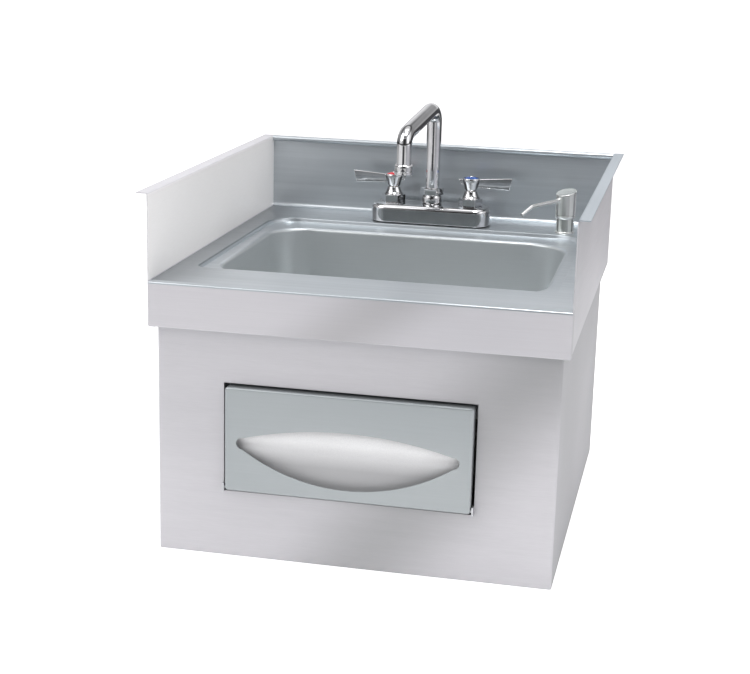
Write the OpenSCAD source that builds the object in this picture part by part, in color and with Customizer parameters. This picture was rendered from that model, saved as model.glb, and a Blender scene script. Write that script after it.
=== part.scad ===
// Counter-top handwash sink: sheet-metal deck with splashes, drawn bowl, skirt, two-handle faucet,
// soap pump and a recessed towel dispenser. Millimetres, +Z up, +Y to the wall, origin bottom centre.

/* [Cabinet] */
// Width over the side splashes
sink_w = 457; // [450:1:470]
// Depth from the apron to the wall
sink_d = 490; // [488:1:500]
// Height of the deck above the base
deck_z = 308; // [306:1:320]
// Height of the splashes above the deck
splash_h = 96; // [80:1:120]
// Width of the turned-out flange on each side splash
flange_w = 12; // [8:1:20]
// Height of the front apron
apron_h = 50; // [40:1:60]
// How far the skirt stands in from the apron
skirt_in = 8; // [6:1:12]
// Sheet thickness
sheet = 1.2; // [1:0.1:1.5]

/* [Bowl] */
// Opening, side to side
bowl_w = 373; // [350:1:376]
// Opening, front to back
bowl_d = 281; // [260:1:283]
// Depth of the bowl below the deck
bowl_depth = 127; // [110:1:127]
// Corner radius in plan
bowl_r = 48; // [46:1:60]
// Radius where the walls meet the floor
floor_r = 40; // [30:1:41]
// Depth of the pressed step around the bowl
step_d = 5; // [3:0.5:8]

/* [Faucet] */
// Distance between the two valve stems
stem_gap = 101.6; // [96:0.1:105]
// Radius of the spout tube
spout_r = 9.5; // [9:0.1:10]
// Reach of the spout from its column
spout_reach = 110; // [90:1:130]
// Angle of the spout at rest, left of straight forward
spout_turn = 9; // [0:0.1:20]
// Slope of the spout's run
spout_slope = 12.5; // [5:0.5:20]
// Height of the outlet above the deck
outlet_z = 78; // [72:1:90]
// Thread radius of the supply shanks
shank_r = 10.4; // [10:0.1:10.5]

/* [Soap pump] */
// Distance of the pump to the right of centre
soap_x = 175; // [160:1:180]
// Radius of the pump head
head_r = 13.2; // [13:0.1:14]
// Angle of the nozzle, left of straight forward
nozzle_turn = 39; // [0:1:60]
// Travel of the pump head
press_travel = 12; // [8:0.5:12]

/* [Towel dispenser] */
// Width of the tip-out cover
cover_w = 273; // [265:1:276]
// Height of the tip-out cover
cover_h = 118; // [110:1:120]
// How far the cover stands proud of the skirt
cover_proud = 8; // [5:0.5:10]
// Gap around the cover
cover_gap = 3; // [2.5:0.1:4]

/* [Drain] */
// Outer radius of the tailpiece
tail_r = 19.05; // [18:0.05:19.5]
// Height of the tailpiece's lower end
tail_z = 40; // [20:1:60]

/* [Hidden] */

$fn = 64;
eps = 0.5;                                  // overshoot of a cutting tool

side_x = sink_w / 2;                        // outer face of a side splash
front_y = -sink_d / 2;                      // front face of the apron
back_y = sink_d / 2;                        // wall plane
splash_z = deck_z + splash_h;
apron_z = deck_z - apron_h;
skirt_x = side_x - skirt_in;                // outer face of a skirt side
skirt_y = front_y + skirt_in;               // outer face of the skirt front
skirt_z = deck_z - 8;                       // top edge of the skirt
foot_w = 24;                                // width of the skirt's base flanges
foot_y = skirt_y + 15;                      // front end of the side base flanges
foot_hole_r = 3.5;
foot_hole_x = skirt_x - 13.5;
foot_hole_y = 200;
cove_r = 6;                                 // welded and ground cove, splash to deck
bead_r = 3.5;                               // rolled bead along the back splash

bowl_y0 = front_y + 90;
bowl_y1 = bowl_y0 + bowl_d;
step_front = bowl_y0 - 4;
step_back = bowl_y1 + 39;
step_x = bowl_w / 2 + 17;
ledge_z = deck_z - step_d;                  // top of the ledge around the bowl
rim_z = ledge_z - sheet;                    // the bowl's flange lies under the ledge
floor_z = deck_z - bowl_depth;
bowl_draft = 4;
bowl_flange = 6;

clip_y = [-100, 120];
clip_w = 20;
clip_screw_z = deck_z - 28;
clip_screw_r = 2.5;

brace_z = 30;
brace_h = 40;
brace_hole_x = 150;

drain_y = (bowl_y0 + bowl_y1) / 2;
drain_r = 22.5;                             // outside of the drain body's thread
drain_flange_r = 38;
drain_end_z = floor_z - 41;
tail_step_z = drain_end_z - 22;             // the tailpiece is full size below, relieved in the nut above
tail_relief = 0.3;
strainer_z = floor_z - 0.6;
strainer_r = 19.5;

faucet_y = 196;
stem_x = stem_gap / 2;
body_top = 25;
body_low = 1.5;
shank_low = -48;                            // end of a supply shank, from the deck
shank_step_z = -22;                         // full thread below, relieved under the nut above
shank_relief = 0.2;
bonnet_top = 44.5;
hub_low = 45;
hub_top = 61;
column_r = spout_r + 1.5;                   // socket of the spout in the faucet body
nut_top = 46;
bend_r = 16;
bend_top = 150.5;                           // where the column's and the run's centre lines meet
bend_front = bend_top - spout_reach * tan(spout_slope);
tube_wall = 1.5;
aerator_r = 11;
aerator_h = 12;

soap_y = 186;
collar_r = 11.4;
pump_r = 8;
plunger_r = 4;
run_gap = 0.06;                             // radial clearance of a running fit
head_low = 18;
head_top = 52;
collar_top = head_low + press_travel;      // the head slides down over the collar by its travel
head_wall = 1.4;
head_slant = 14;
head_roof = 44;
soap_low = -200;                            // underside of the bottle, from the deck
pump_low = -130;

cover_x = -142;                             // left edge of the cover
cover_z = 79;
cover_y = skirt_y - cover_proud;
hinge_y = cover_y + 4;
hinge_z = cover_z + 3;
hinge_r = 1.5;
mouth_x0 = cover_x - cover_gap;
mouth_x1 = cover_x + cover_w + cover_gap;
mouth_z0 = cover_z - cover_gap;
mouth_z1 = cover_z + cover_h + cover_gap;
throat_y = skirt_y + 23;                    // back of the deep part of the cabinet's mouth
box_z = floor_z - 3.5;                      // roof of the towel box, under the bowl
box_y = skirt_y + 109;
rim_w = 12;
window_x = -5.5;
window_z = 137;
window_half = 129;
window_up = 20;
window_down = 45;
window_cut = 116.5;
window_end_r = 6.6;
stud_r = 2;
stud_pos = [for (x = [mouth_x0 - 7, mouth_x1 + 7], z = [mouth_z0 - 6.5, mouth_z1 + 6.5]) [x, z]];

steel = [0.74, 0.76, 0.78];
skirt_grey = [0.80, 0.79, 0.81];
chrome = [0.85, 0.87, 0.88];
brass = [0.78, 0.62, 0.32];
rubber = [0.12, 0.12, 0.12];
plastic = [0.90, 0.90, 0.88];

// ---- shared shapes ----

// outline of a rectangle with round corners: rf at the front, rb at the back
function outline(x0, x1, y0, y1, rf, rb, n = 10) = [
    for (c = [[x1 - rb, y1 - rb, 0, rb], [x0 + rb, y1 - rb, 90, rb],
              [x0 + rf, y0 + rf, 180, rf], [x1 - rf, y0 + rf, 270, rf]])
        for (i = [0 : n])
            [c[0] + c[3] * cos(c[2] + 90 * i / n), c[1] + c[3] * sin(c[2] + 90 * i / n)]
];

// the same outline as a ring of points at height z, drawn in by inset
function ring(x0, x1, y0, y1, r, inset, z, n = 10) = [
    for (p = outline(x0 + inset, x1 - inset, y0 + inset, y1 - inset, r - inset, r - inset, n)) [p[0], p[1], z]
];

// closed solid through rings with equal counts of points, anticlockwise seen from ahead of the stack;
// in a loop, the last ring joins the first
module ring_loft(rings, loop = false) {
    n = len(rings[0]);
    m = len(rings);
    sides = [for (k = [0 : m - (loop ? 1 : 2)], i = [0 : n - 1])
        [k * n + i, k * n + (i + 1) % n, (k + 1) % m * n + (i + 1) % n, (k + 1) % m * n + i]];
    first = [for (i = [n - 1 : -1 : 0]) i];
    last = [for (i = [0 : n - 1]) (m - 1) * n + i];
    polyhedron(points = [for (r = rings) each r], faces = [for (f = concat(sides, loop ? [] : [first, last]))
        [for (j = [len(f) - 1 : -1 : 0]) f[j]]]);
}

module block(x0, x1, y0, y1, z0, z1) {
    translate([x0, y0, z0]) cube([x1 - x0, y1 - y0, z1 - z0]);
}

module tube(r_out, r_in, z0, z1) {
    difference() {
        translate([0, 0, z0]) cylinder(r = r_out, h = z1 - z0);
        translate([0, 0, z0 - eps]) cylinder(r = r_in, h = z1 - z0 + 2 * eps);
    }
}

module hole(r, z0, z1) {
    translate([0, 0, z0]) cylinder(r = r, h = z1 - z0);
}

module hex_nut(flats, r_in, z0, z1) {
    difference() {
        translate([0, 0, z0]) cylinder(r = flats / sqrt(3), h = z1 - z0, $fn = 6);
        hole(r_in, z0 - eps, z1 + eps);
    }
}

module at_faucet(x = 0) {
    translate([x, faucet_y, deck_z]) children();
}

module at_soap() {
    translate([soap_x, soap_y, deck_z]) children();
}

module at_drain() {
    translate([0, drain_y, 0]) children();
}

// turned so that local +X points forward, turned left by the angle
module facing(angle) {
    rotate([0, 0, -90 - angle]) children();
}

// ---- cabinet ----

module deck_panel() {
    color(steel) union() {
        translate([0, 0, deck_z - sheet]) linear_extrude(sheet) difference() {
            translate([-side_x + sheet, front_y]) square([sink_w - 2 * sheet, sink_d - sheet]);
            polygon(outline(-step_x, step_x, step_front, step_back, 12, 38));
            for (x = [-stem_x, stem_x]) translate([x, faucet_y]) circle(r = 14);
            translate([soap_x, soap_y]) circle(r = 11);
        }
        translate([0, 0, rim_z]) linear_extrude(step_d + sheet) difference() {
            polygon(outline(-step_x, step_x, step_front, step_back, 12, 38));
            polygon(outline(-step_x + sheet, step_x - sheet, step_front + sheet, step_back - sheet,
                12 - sheet, 38 - sheet));
        }
        translate([0, 0, rim_z]) linear_extrude(sheet) difference() {
            polygon(outline(-step_x + sheet / 2, step_x - sheet / 2, step_front + sheet / 2,
                step_back - sheet / 2, 12 - sheet / 2, 38 - sheet / 2));
            polygon(outline(-bowl_w / 2, bowl_w / 2, bowl_y0, bowl_y1, bowl_r, bowl_r));
        }
        block(-side_x, side_x, front_y, front_y + sheet, apron_z, deck_z);
        block(-side_x, side_x, front_y, skirt_y, apron_z, apron_z + sheet);
    }
}

// wall of the bowl in section, as [inset from the opening, height]: a drafted wall and a round foot
function bowl_wall(out, turns) = [
    for (a = turns) [bowl_draft - out + (floor_r + out) * (1 - cos(a)), floor_z - out + (floor_r + out) * (1 - sin(a))]
];

module bowl() {
    outer = bowl_wall(sheet, [90 : -15 : 0]);
    rim = [[-sheet, rim_z - sheet], [-bowl_flange, rim_z - sheet], [-bowl_flange, rim_z], [0, rim_z]];
    inner = bowl_wall(0, [0 : 15 : 90]);
    color(steel) difference() {
        ring_loft([for (p = concat(outer, rim, inner))
            ring(-bowl_w / 2, bowl_w / 2, bowl_y0, bowl_y1, bowl_r, p[0], p[1])]);
        at_drain() hole(drain_r, floor_z - 2 * sheet, floor_z + sheet);
    }
}

module back_splash() {
    x1 = side_x - sheet;
    y1 = back_y - sheet;
    color(steel) union() {
        block(-x1, x1, y1, back_y, apron_z, splash_z);
        translate([-x1, y1 - bead_r + 1, splash_z - bead_r]) rotate([0, 90, 0]) cylinder(r = bead_r, h = 2 * x1);
        difference() {
            block(-x1, x1, y1 - cove_r, y1, deck_z, deck_z + cove_r);
            translate([-x1 - eps, y1 - cove_r, deck_z + cove_r]) rotate([0, 90, 0])
                cylinder(r = cove_r, h = 2 * x1 + 2 * eps);
        }
    }
}

// right-hand side splash, with its top flange turned out and its lower edge turned in
module side_splash() {
    color(skirt_grey) union() {
        block(side_x - sheet, side_x, front_y + sheet, back_y, apron_z, splash_z);
        block(side_x - sheet, side_x + flange_w, front_y, back_y, splash_z - sheet, splash_z);
        block(side_x - sheet, side_x, front_y, front_y + sheet + eps, deck_z, splash_z);
        block(skirt_x, side_x, skirt_y, back_y, apron_z, apron_z + sheet);
    }
}

module left_splash() {
    mirror([1, 0, 0]) side_splash();
}

module right_splash() {
    side_splash();
}

module skirt_front() {
    color(skirt_grey) union() {
        difference() {
            block(-skirt_x, skirt_x, skirt_y, skirt_y + sheet, 0, skirt_z);
            block(mouth_x0, mouth_x1, skirt_y - eps, skirt_y + sheet + eps, mouth_z0, mouth_z1);
        }
        block(-skirt_x + sheet, skirt_x - sheet, skirt_y, foot_y, 0, sheet);
    }
}

// right-hand skirt side, with its base flange and its return along the wall
module skirt_side() {
    x1 = skirt_x - sheet;
    color(skirt_grey) difference() {
        union() {
            block(x1, skirt_x, skirt_y + sheet, back_y - sheet, 0, skirt_z);
            block(x1 - foot_w, skirt_x, foot_y, back_y - sheet, 0, sheet);
            block(x1 - 20, skirt_x, back_y - sheet, back_y, 0, apron_z - 2);
        }
        for (y = [-foot_hole_y, foot_hole_y])
            translate([foot_hole_x, y, 0]) hole(foot_hole_r, -eps, sheet + eps);
        for (y = clip_y)
            translate([x1 - eps, y, clip_screw_z]) rotate([0, 90, 0]) cylinder(r = clip_screw_r, h = sheet + 2 * eps);
    }
}

module skirt_left() {
    mirror([1, 0, 0]) skirt_side();
}

module skirt_right() {
    skirt_side();
}

module rear_brace() {
    x1 = skirt_x - sheet;
    y1 = back_y - sheet;
    color(skirt_grey) difference() {
        union() {
            block(-x1, x1, y1 - sheet, y1, brace_z, brace_z + brace_h);
            for (z = [brace_z, brace_z + brace_h - sheet]) block(-x1, x1, y1 - 14, y1, z, z + sheet);
        }
        for (x = [-brace_hole_x, brace_hole_x])
            translate([x, y1 + eps, brace_z + brace_h / 2]) rotate([90, 0, 0])
                cylinder(r = foot_hole_r, h = sheet + 2 * eps);
    }
}

module skirt_clips() {
    x1 = skirt_x - sheet;
    color(steel) for (s = [0, 1], y = clip_y) mirror([s, 0, 0]) difference() {
        union() {
            block(x1 - sheet, x1, y - clip_w / 2, y + clip_w / 2, apron_z + 4, deck_z - sheet);
            block(x1 - 13, x1, y - clip_w / 2, y + clip_w / 2, deck_z - 2 * sheet, deck_z - sheet);
        }
        translate([x1 - 2 * sheet, y, clip_screw_z]) rotate([0, 90, 0]) cylinder(r = clip_screw_r, h = 4);
    }
}

module skirt_screws() {
    x1 = skirt_x - 2 * sheet;
    color(steel) for (s = [0, 1], y = clip_y) mirror([s, 0, 0]) translate([x1, y, clip_screw_z]) union() {
        translate([-2.5, 0, 0]) rotate([0, 90, 0]) cylinder(r = 4.5, h = 2.5);
        rotate([0, 90, 0]) cylinder(r = clip_screw_r, h = 5.4);
    }
}

// ---- drain ----

module drain_body() {
    color(chrome) at_drain() union() {
        difference() {
            union() {
                translate([0, 0, floor_z]) cylinder(r1 = drain_flange_r, r2 = drain_flange_r - 3, h = 1.6);
                hole(drain_r, drain_end_z, floor_z + 0.5);
            }
            hole(strainer_r, strainer_z, floor_z + 3);
            hole(18, strainer_z - 11, floor_z);
            hole(tail_r, drain_end_z - eps, strainer_z - 10.4);
        }
        intersection() {
            tube(18.5, 2.5, strainer_z - 9, strainer_z - 5);
            block(-20, 20, -4, 4, floor_z - 20, floor_z);
        }
    }
}

module drain_gasket() {
    color(rubber) at_drain() tube(36, drain_r, floor_z - sheet - 3, floor_z - sheet);
}

module drain_nut() {
    color(brass) at_drain() hex_nut(62, drain_r, floor_z - sheet - 13, floor_z - sheet - 3);
}

module drain_strainer() {
    color(chrome) at_drain() translate([0, 0, strainer_z]) linear_extrude(1.2) difference() {
        circle(r = strainer_r);
        circle(r = 2.5);
        for (i = [0 : 5]) rotate(i * 60) translate([7.6, 0]) circle(r = 2.1, $fn = 24);
        for (i = [0 : 11]) rotate(i * 30 + 15) translate([14, 0]) circle(r = 2.3, $fn = 24);
    }
}

module strainer_screw() {
    color(chrome) at_drain() union() {
        translate([0, 0, strainer_z + 1.2]) cylinder(r1 = 4.6, r2 = 3.4, h = 1.8);
        hole(2.5, strainer_z - 11, strainer_z + 1.3);
    }
}

module tailpiece() {
    color(chrome) at_drain() {
        tube(tail_r, tail_r - 1.5, tail_z, tail_step_z);
        tube(tail_r - tail_relief, tail_r - 1.5, tail_step_z, strainer_z - 12);
    }
}

module slip_nut() {
    color(chrome) at_drain() hex_nut(50, tail_r, drain_end_z - 14, drain_end_z);
}

// ---- faucet ----

module faucet_body() {
    top_r = 9;
    rise = body_top - body_low - top_r;
    rings = concat([[0.6, 0], [0, 1], [0.4, rise]],
        [for (a = [15 : 15 : 75]) [0.4 + top_r * (1 - cos(a)), rise + top_r * sin(a) * 0.97]],
        [[13, body_top - body_low]]);
    color(chrome) at_faucet() difference() {
        translate([0, 0, body_low]) ring_loft([for (p = rings) ring(-78, 78, -27, 27, 21, p[0], p[1], 8)]);
        for (x = [-stem_x, stem_x]) translate([x, 0, 0]) {
            hole(9, 8, body_top + eps);
            hole(8, 0, 9);
        }
        hole(column_r, 12, body_top + eps);
    }
}

module faucet_gasket() {
    color(rubber) at_faucet() linear_extrude(body_low) difference() {
        polygon(outline(-76, 76, -25, 25, 19, 19, 8));
        for (x = [-stem_x, stem_x]) translate([x, 0]) circle(r = shank_r);
    }
}

module supply_shank(x) {
    color(brass) at_faucet(x) difference() {
        union() {
            hole(shank_r, shank_low, shank_step_z);
            hole(shank_r - shank_relief, shank_step_z - eps, body_low);
            hole(8, 0, 7.9);
        }
        hole(6, shank_low - eps, 8 + eps);
    }
}

module shank_nuts() {
    color(plastic) for (x = [-stem_x, stem_x]) at_faucet(x) difference() {
        union() {
            hole(19, -sheet - 2.5, -sheet);
            translate([0, 0, -sheet - 16]) cylinder(r = 17, h = 14, $fn = 8);
        }
        hole(shank_r, -sheet - 17, 0);
    }
}

module valve_bonnet(x) {
    color(chrome) at_faucet(x) difference() {
        union() {
            hole(9, 12, body_top);
            translate([0, 0, body_top]) cylinder(r = 27 / sqrt(3), h = 9.5, $fn = 6);
            rotate_extrude() polygon([[0, 34], [12.6, 34], [12.6, 35.5], [11.2, 37], [9.6, 40], [8.6, 43],
                [8.2, bonnet_top], [0, bonnet_top]]);
        }
        hole(5 + run_gap, 12 - eps, bonnet_top + eps);
    }
}

module valve_stem(x) {
    color(brass) at_faucet(x) difference() {
        union() {
            hole(5, 13, hub_low);
            hole(4, hub_low - 1, 57);
        }
        hole(1.8, 50, 58);
    }
}

// lever handle for the valve at x, its blade pointing to the side s
module valve_handle(x, s) {
    color(chrome) at_faucet(x) mirror([s < 0 ? 1 : 0, 0, 0]) difference() {
        union() {
            rotate_extrude() polygon([[0, hub_low], [8, hub_low], [8.5, 46.5], [11.9, 57.5], [12, 60],
                [11.2, hub_top], [0, hub_top]]);
            translate([0, 2.5, 0]) rotate([90, 0, 0]) linear_extrude(5)
                polygon([[0, 49.5], [50, 47.8], [53.5, 63.2], [0, 59.5]]);
            translate([0, 2.5, 0]) rotate([90, 0, 0]) linear_extrude(5)
                polygon([[0, 50], [-13, 53], [-16.5, 59], [0, 59.8]]);
        }
        hole(4, hub_low - eps, 57);
        hole(1.8, 56, 60);
        hole(9.7, 59.6, hub_top + eps);
    }
}

module index_ring(x, tone) {
    color(tone) at_faucet(x) rotate_extrude() polygon([[3.3, 59.6], [9.7, 59.6], [9.7, 60.8], [3.3, 63]]);
}

module handle_screw(x) {
    color(chrome) at_faucet(x) union() {
        translate([0, 0, 59.6]) cylinder(r = 3.3, h = 3.4);
        translate([0, 0, 63]) cylinder(r1 = 3.3, r2 = 2.6, h = 0.8);
        hole(1.8, 50, 60);
    }
}

module spout_nut() {
    color(chrome) at_faucet() difference() {
        union() {
            rotate_extrude() polygon([[0, body_top], [12.8, body_top], [13.4, 27.5], [13.4, 33], [12.2, 36],
                [12.2, 37.5], [0, 37.5]]);
            translate([0, 0, 37]) cylinder(r = 26.5 / sqrt(3), h = nut_top - 38, $fn = 6);
            translate([0, 0, nut_top - 1]) cylinder(r1 = 13, r2 = 11.6, h = 1);
        }
        hole(spout_r + run_gap, body_top - eps, nut_top + eps);
    }
}

// stations [forward, height, heading] along the spout's centre line, from low in the column to the outlet
function spout_path(low, end) = let (
    turn1 = 90 + spout_slope,
    turn2 = 90 - spout_slope,
    start1 = bend_top - bend_r * tan(turn1 / 2),
    start2 = bend_front - bend_r * tan(turn2 / 2),
    steps = 8
) concat(
    [[0, low, 90]],
    [for (k = [0 : steps]) let (a = turn1 * k / steps)
        [bend_r * (1 - cos(a)), start1 + bend_r * sin(a), 90 - a]],
    [for (k = [0 : steps]) let (a = turn2 * (1 - k / steps))
        [spout_reach - bend_r * (1 - cos(a)), start2 + bend_r * sin(a), a - 90]],
    [[spout_reach, end, -90]]
);

// ring of points round one station of a path
function path_ring(s, r, n = 20) = [
    for (i = [0 : n - 1]) let (b = 360 * i / n)
        [s[0] - r * cos(b) * sin(s[2]), -r * sin(b), s[1] + r * cos(b) * cos(s[2])]
];

module spout_tube() {
    joint_z = 110;                          // the plain column ends here and the bent part begins
    path = spout_path(joint_z - 2, outlet_z + 4);
    last = len(path) - 1;
    inner_r = spout_r - tube_wall;
    color(chrome) at_faucet() facing(spout_turn) union() {
        tube(spout_r, inner_r, 13, joint_z);
        ring_loft(concat([for (s = path) path_ring(s, spout_r - 0.03)],
            [for (k = [last : -1 : 0]) path_ring(path[k], inner_r + 0.1)]), true);
    }
}

module spout_oring() {
    color(rubber) at_faucet() tube(column_r - 0.1, spout_r, 17, 20);
}

module aerator_shell() {
    color(chrome) at_faucet() facing(spout_turn) translate([spout_reach, 0, outlet_z]) difference() {
        rotate_extrude() polygon([[0, 0], [aerator_r - 1, 0], [aerator_r, 1], [aerator_r, aerator_h - 2.5],
            [spout_r + 0.4, aerator_h], [0, aerator_h]]);
        hole(spout_r, 4, aerator_h + eps);
        hole(spout_r - 1, -eps, 5);
    }
}

module aerator_screen() {
    color(steel) at_faucet() facing(spout_turn) translate([spout_reach, 0, outlet_z]) linear_extrude(2)
        difference() {
            circle(r = spout_r - 1);
            for (x = [-2 : 2], y = [-2 : 2]) translate([x * 2.7, y * 2.7]) circle(r = 0.9, $fn = 16);
        }
}

// ---- soap pump ----

module soap_collar() {
    color(chrome) at_soap() difference() {
        union() {
            translate([0, 0, 0]) cylinder(r1 = 13, r2 = 12.2, h = 1.8);
            hole(collar_r, 0, collar_top);
            hole(10.5, -72, 1);
        }
        hole(pump_r, -72 - eps, collar_top + eps);
    }
}

module soap_gasket() {
    color(rubber) at_soap() tube(17, 10.5, -sheet - 1.5, -sheet);
}

module soap_nut() {
    color(plastic) at_soap() hex_nut(34, 10.5, -sheet - 9, -sheet - 1.5);
}

module pump_body() {
    color(plastic) at_soap() difference() {
        hole(pump_r, pump_low, collar_top);
        hole(pump_r - 1, pump_low + 5, 24);
        hole(plunger_r + run_gap, 23, collar_top + eps);
        hole(2.5, pump_low - eps, pump_low + 6);
    }
}

module soap_plunger() {
    color(plastic) at_soap() union() {
        hole(plunger_r, -20, 48);
        hole(pump_r - 1 - run_gap, -24, -18);
    }
}

// coil under the piston, as a loft through rings along a helix
module soap_spring() {
    turns = 7;
    per_turn = 14;
    z0 = -74;
    z1 = -24.2;
    coil_r = 5.2;
    wire_r = 0.7;
    color(steel) at_soap() ring_loft([for (k = [0 : turns * per_turn]) let (a = 360 * k / per_turn)
        [for (b = [0 : 60 : 300]) [(coil_r + wire_r * cos(b)) * cos(a), (coil_r + wire_r * cos(b)) * sin(a),
            z0 + wire_r + (z1 - z0 - 2 * wire_r) * k / (turns * per_turn) - wire_r * sin(b)]]]);
}

module dip_tube() {
    color(plastic) at_soap() tube(2.5, 1.6, soap_low + 8, pump_low + 5);
}

module soap_bottle() {
    color([0.92, 0.92, 0.88]) at_soap() rotate_extrude() polygon([[10.5, -54], [13, -54], [13, -74], [27, -82],
        [30, -88], [30, soap_low + 4], [26, soap_low], [0, soap_low], [0, soap_low + 1.8], [25.4, soap_low + 1.8],
        [28.4, soap_low + 4.6], [28.4, -87.4], [26, -83.2], [11.6, -75], [10.5, -73]]);
}

module soap_head() {
    color(chrome) at_soap() facing(nozzle_turn) difference() {
        rotate_extrude() polygon([[0, head_low], [head_r - 1.2, head_low], [head_r, head_low + 2], [head_r, 58],
            [0, 58]]);
        hole(head_r - head_wall, head_low - eps, head_roof);
        hole(plunger_r + run_gap, head_roof - eps, 48.3);
        translate([0, 0, head_top]) rotate([0, head_slant, 0]) translate([-30, -30, 0]) cube([60, 60, 20]);
        translate([head_r - 2, 0, 42]) rotate([0, 94, 0]) cylinder(r = 2.4, h = 6);
        translate([head_r - 0.4, 0, 42]) rotate([0, 94, 0]) cylinder(r = 3.6, h = 6);
    }
}

module soap_nozzle() {
    reach1 = 47;
    reach2 = 20.5;
    color(chrome) at_soap() facing(nozzle_turn) translate([head_r - 0.4, 0, 42]) rotate([0, 94, 0]) difference() {
        union() {
            translate([0, 0, -0.9]) cylinder(r = 2.4, h = reach1 + 0.9);
            cylinder(r = 3.6, h = 2.2);
            translate([0, 0, reach1]) sphere(r = 2.4);
            translate([0, 0, reach1]) rotate([0, 24, 0]) cylinder(r1 = 2.4, r2 = 2, h = reach2);
        }
        translate([0, 0, reach1]) rotate([0, 24, 0]) hole(1.3, reach2 - 6, reach2 + eps);
    }
}

// ---- towel dispenser ----

module cabinet_profile(t) {
    polygon([[skirt_y + sheet - t * 9, mouth_z0 - sheet + t], [skirt_y + sheet - t * 9, mouth_z1 + sheet - t],
        [throat_y - t, mouth_z1 + sheet - t], [throat_y - t, box_z - t], [box_y - t, box_z - t],
        [box_y - t, mouth_z0 - sheet + t]]);
}

// outline across the cabinet turned upright, so that its polygon runs along Y and Z
module across(x0, x1) {
    translate([x0, 0, 0]) rotate([90, 0, 90]) linear_extrude(x1 - x0) children();
}

module towel_cabinet() {
    color(steel) difference() {
        union() {
            difference() {
                union() {
                    across(mouth_x0 - sheet, mouth_x1 + sheet) cabinet_profile(0);
                    block(mouth_x0 - rim_w, mouth_x1 + rim_w, skirt_y + sheet, skirt_y + 2 * sheet,
                        mouth_z0 - rim_w, mouth_z1 + rim_w);
                }
                across(mouth_x0, mouth_x1) cabinet_profile(sheet);
            }
            for (x = [mouth_x0, mouth_x1 - 2])
                block(x, x + 2, cover_y + 1, throat_y, mouth_z0 + 1, hinge_z + 5);
        }
        translate([mouth_x0 - 5, hinge_y, hinge_z]) rotate([0, 90, 0])
            cylinder(r = hinge_r, h = mouth_x1 - mouth_x0 + 10);
        for (p = stud_pos) translate([p[0], skirt_y + 3 * sheet, p[1]]) rotate([90, 0, 0])
            cylinder(r = stud_r, h = 3 * sheet);
    }
}

module window_outline() {
    rad_up = (pow(window_half, 2) + pow(window_up, 2)) / (2 * window_up);
    rad_down = (pow(window_half, 2) + pow(window_down, 2)) / (2 * window_down);
    translate([window_x, window_z]) union() {
        intersection() {
            translate([0, window_up - rad_up]) circle(r = rad_up, $fn = 256);
            translate([0, rad_down - window_down]) circle(r = rad_down, $fn = 256);
            translate([-window_cut, -60]) square([2 * window_cut, 120]);
        }
        for (x = [-window_cut, window_cut]) translate([x, -2.4]) circle(r = window_end_r);
    }
}

module towel_cover() {
    x1 = cover_x + cover_w;
    z1 = cover_z + cover_h;
    back = skirt_y + 10;
    low_back = cover_y + 7;
    color(steel) difference() {
        union() {
            difference() {
                across(cover_x, x1) polygon([[cover_y, cover_z], [cover_y, z1], [back, z1], [back, cover_z + 14],
                    [low_back, cover_z + 4], [low_back, cover_z]]);
                block(cover_x + sheet, x1 - sheet, cover_y + sheet, back + eps, cover_z + sheet, z1 - sheet);
            }
        }
        translate([0, cover_y + sheet + eps, 0]) rotate([90, 0, 0]) linear_extrude(sheet + 2 * eps)
            window_outline();
        translate([cover_x - eps, hinge_y, hinge_z]) rotate([0, 90, 0])
            cylinder(r = hinge_r + run_gap, h = cover_w + 2 * eps);
    }
}

module hinge_pins() {
    color(steel) for (x = [mouth_x0, mouth_x1 - 7]) translate([x, hinge_y, hinge_z]) rotate([0, 90, 0])
        cylinder(r = hinge_r, h = 7);
}

module towels() {
    color([0.93, 0.93, 0.91]) block(cover_x + 6, cover_x + 267, skirt_y + 2, skirt_y + 87, mouth_z0, mouth_z0 + 93);
}

module cabinet_studs() {
    color(steel) for (p = stud_pos) translate([p[0], skirt_y + sheet + 9, p[1]]) rotate([90, 0, 0])
        cylinder(r = stud_r, h = 9);
}

module cabinet_nuts() {
    color(steel) for (p = stud_pos) translate([p[0], skirt_y + 2 * sheet + 3.2, p[1]]) rotate([90, 0, 0])
        hex_nut(7, stud_r, 0, 3.2);
}

deck_panel();
bowl();
back_splash();
left_splash();
right_splash();
skirt_front();
skirt_left();
skirt_right();
rear_brace();
skirt_clips();
skirt_screws();
drain_body();
drain_gasket();
drain_nut();
drain_strainer();
strainer_screw();
tailpiece();
slip_nut();
faucet_body();
faucet_gasket();
supply_shank(-stem_x);  // hot_shank
supply_shank(stem_x);  // cold_shank
shank_nuts();
valve_bonnet(-stem_x);  // hot_bonnet
valve_bonnet(stem_x);  // cold_bonnet
valve_stem(-stem_x);  // hot_stem
valve_stem(stem_x);  // cold_stem
valve_handle(-stem_x, -1);  // hot_handle
valve_handle(stem_x, 1);  // cold_handle
index_ring(-stem_x, [0.75, 0.08, 0.10]);  // hot_index
index_ring(stem_x, [0.05, 0.25, 0.60]);  // cold_index
handle_screw(-stem_x);  // hot_screw
handle_screw(stem_x);  // cold_screw
spout_nut();
spout_tube();
spout_oring();
aerator_shell();
aerator_screen();
soap_collar();
soap_gasket();
soap_nut();
soap_plunger();
soap_head();
soap_nozzle();
soap_spring();
pump_body();
dip_tube();
soap_bottle();
towel_cabinet();
towel_cover();
hinge_pins();
towels();
cabinet_studs();
cabinet_nuts();
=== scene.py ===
import math

import bpy
from mathutils import Matrix, Vector


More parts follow.
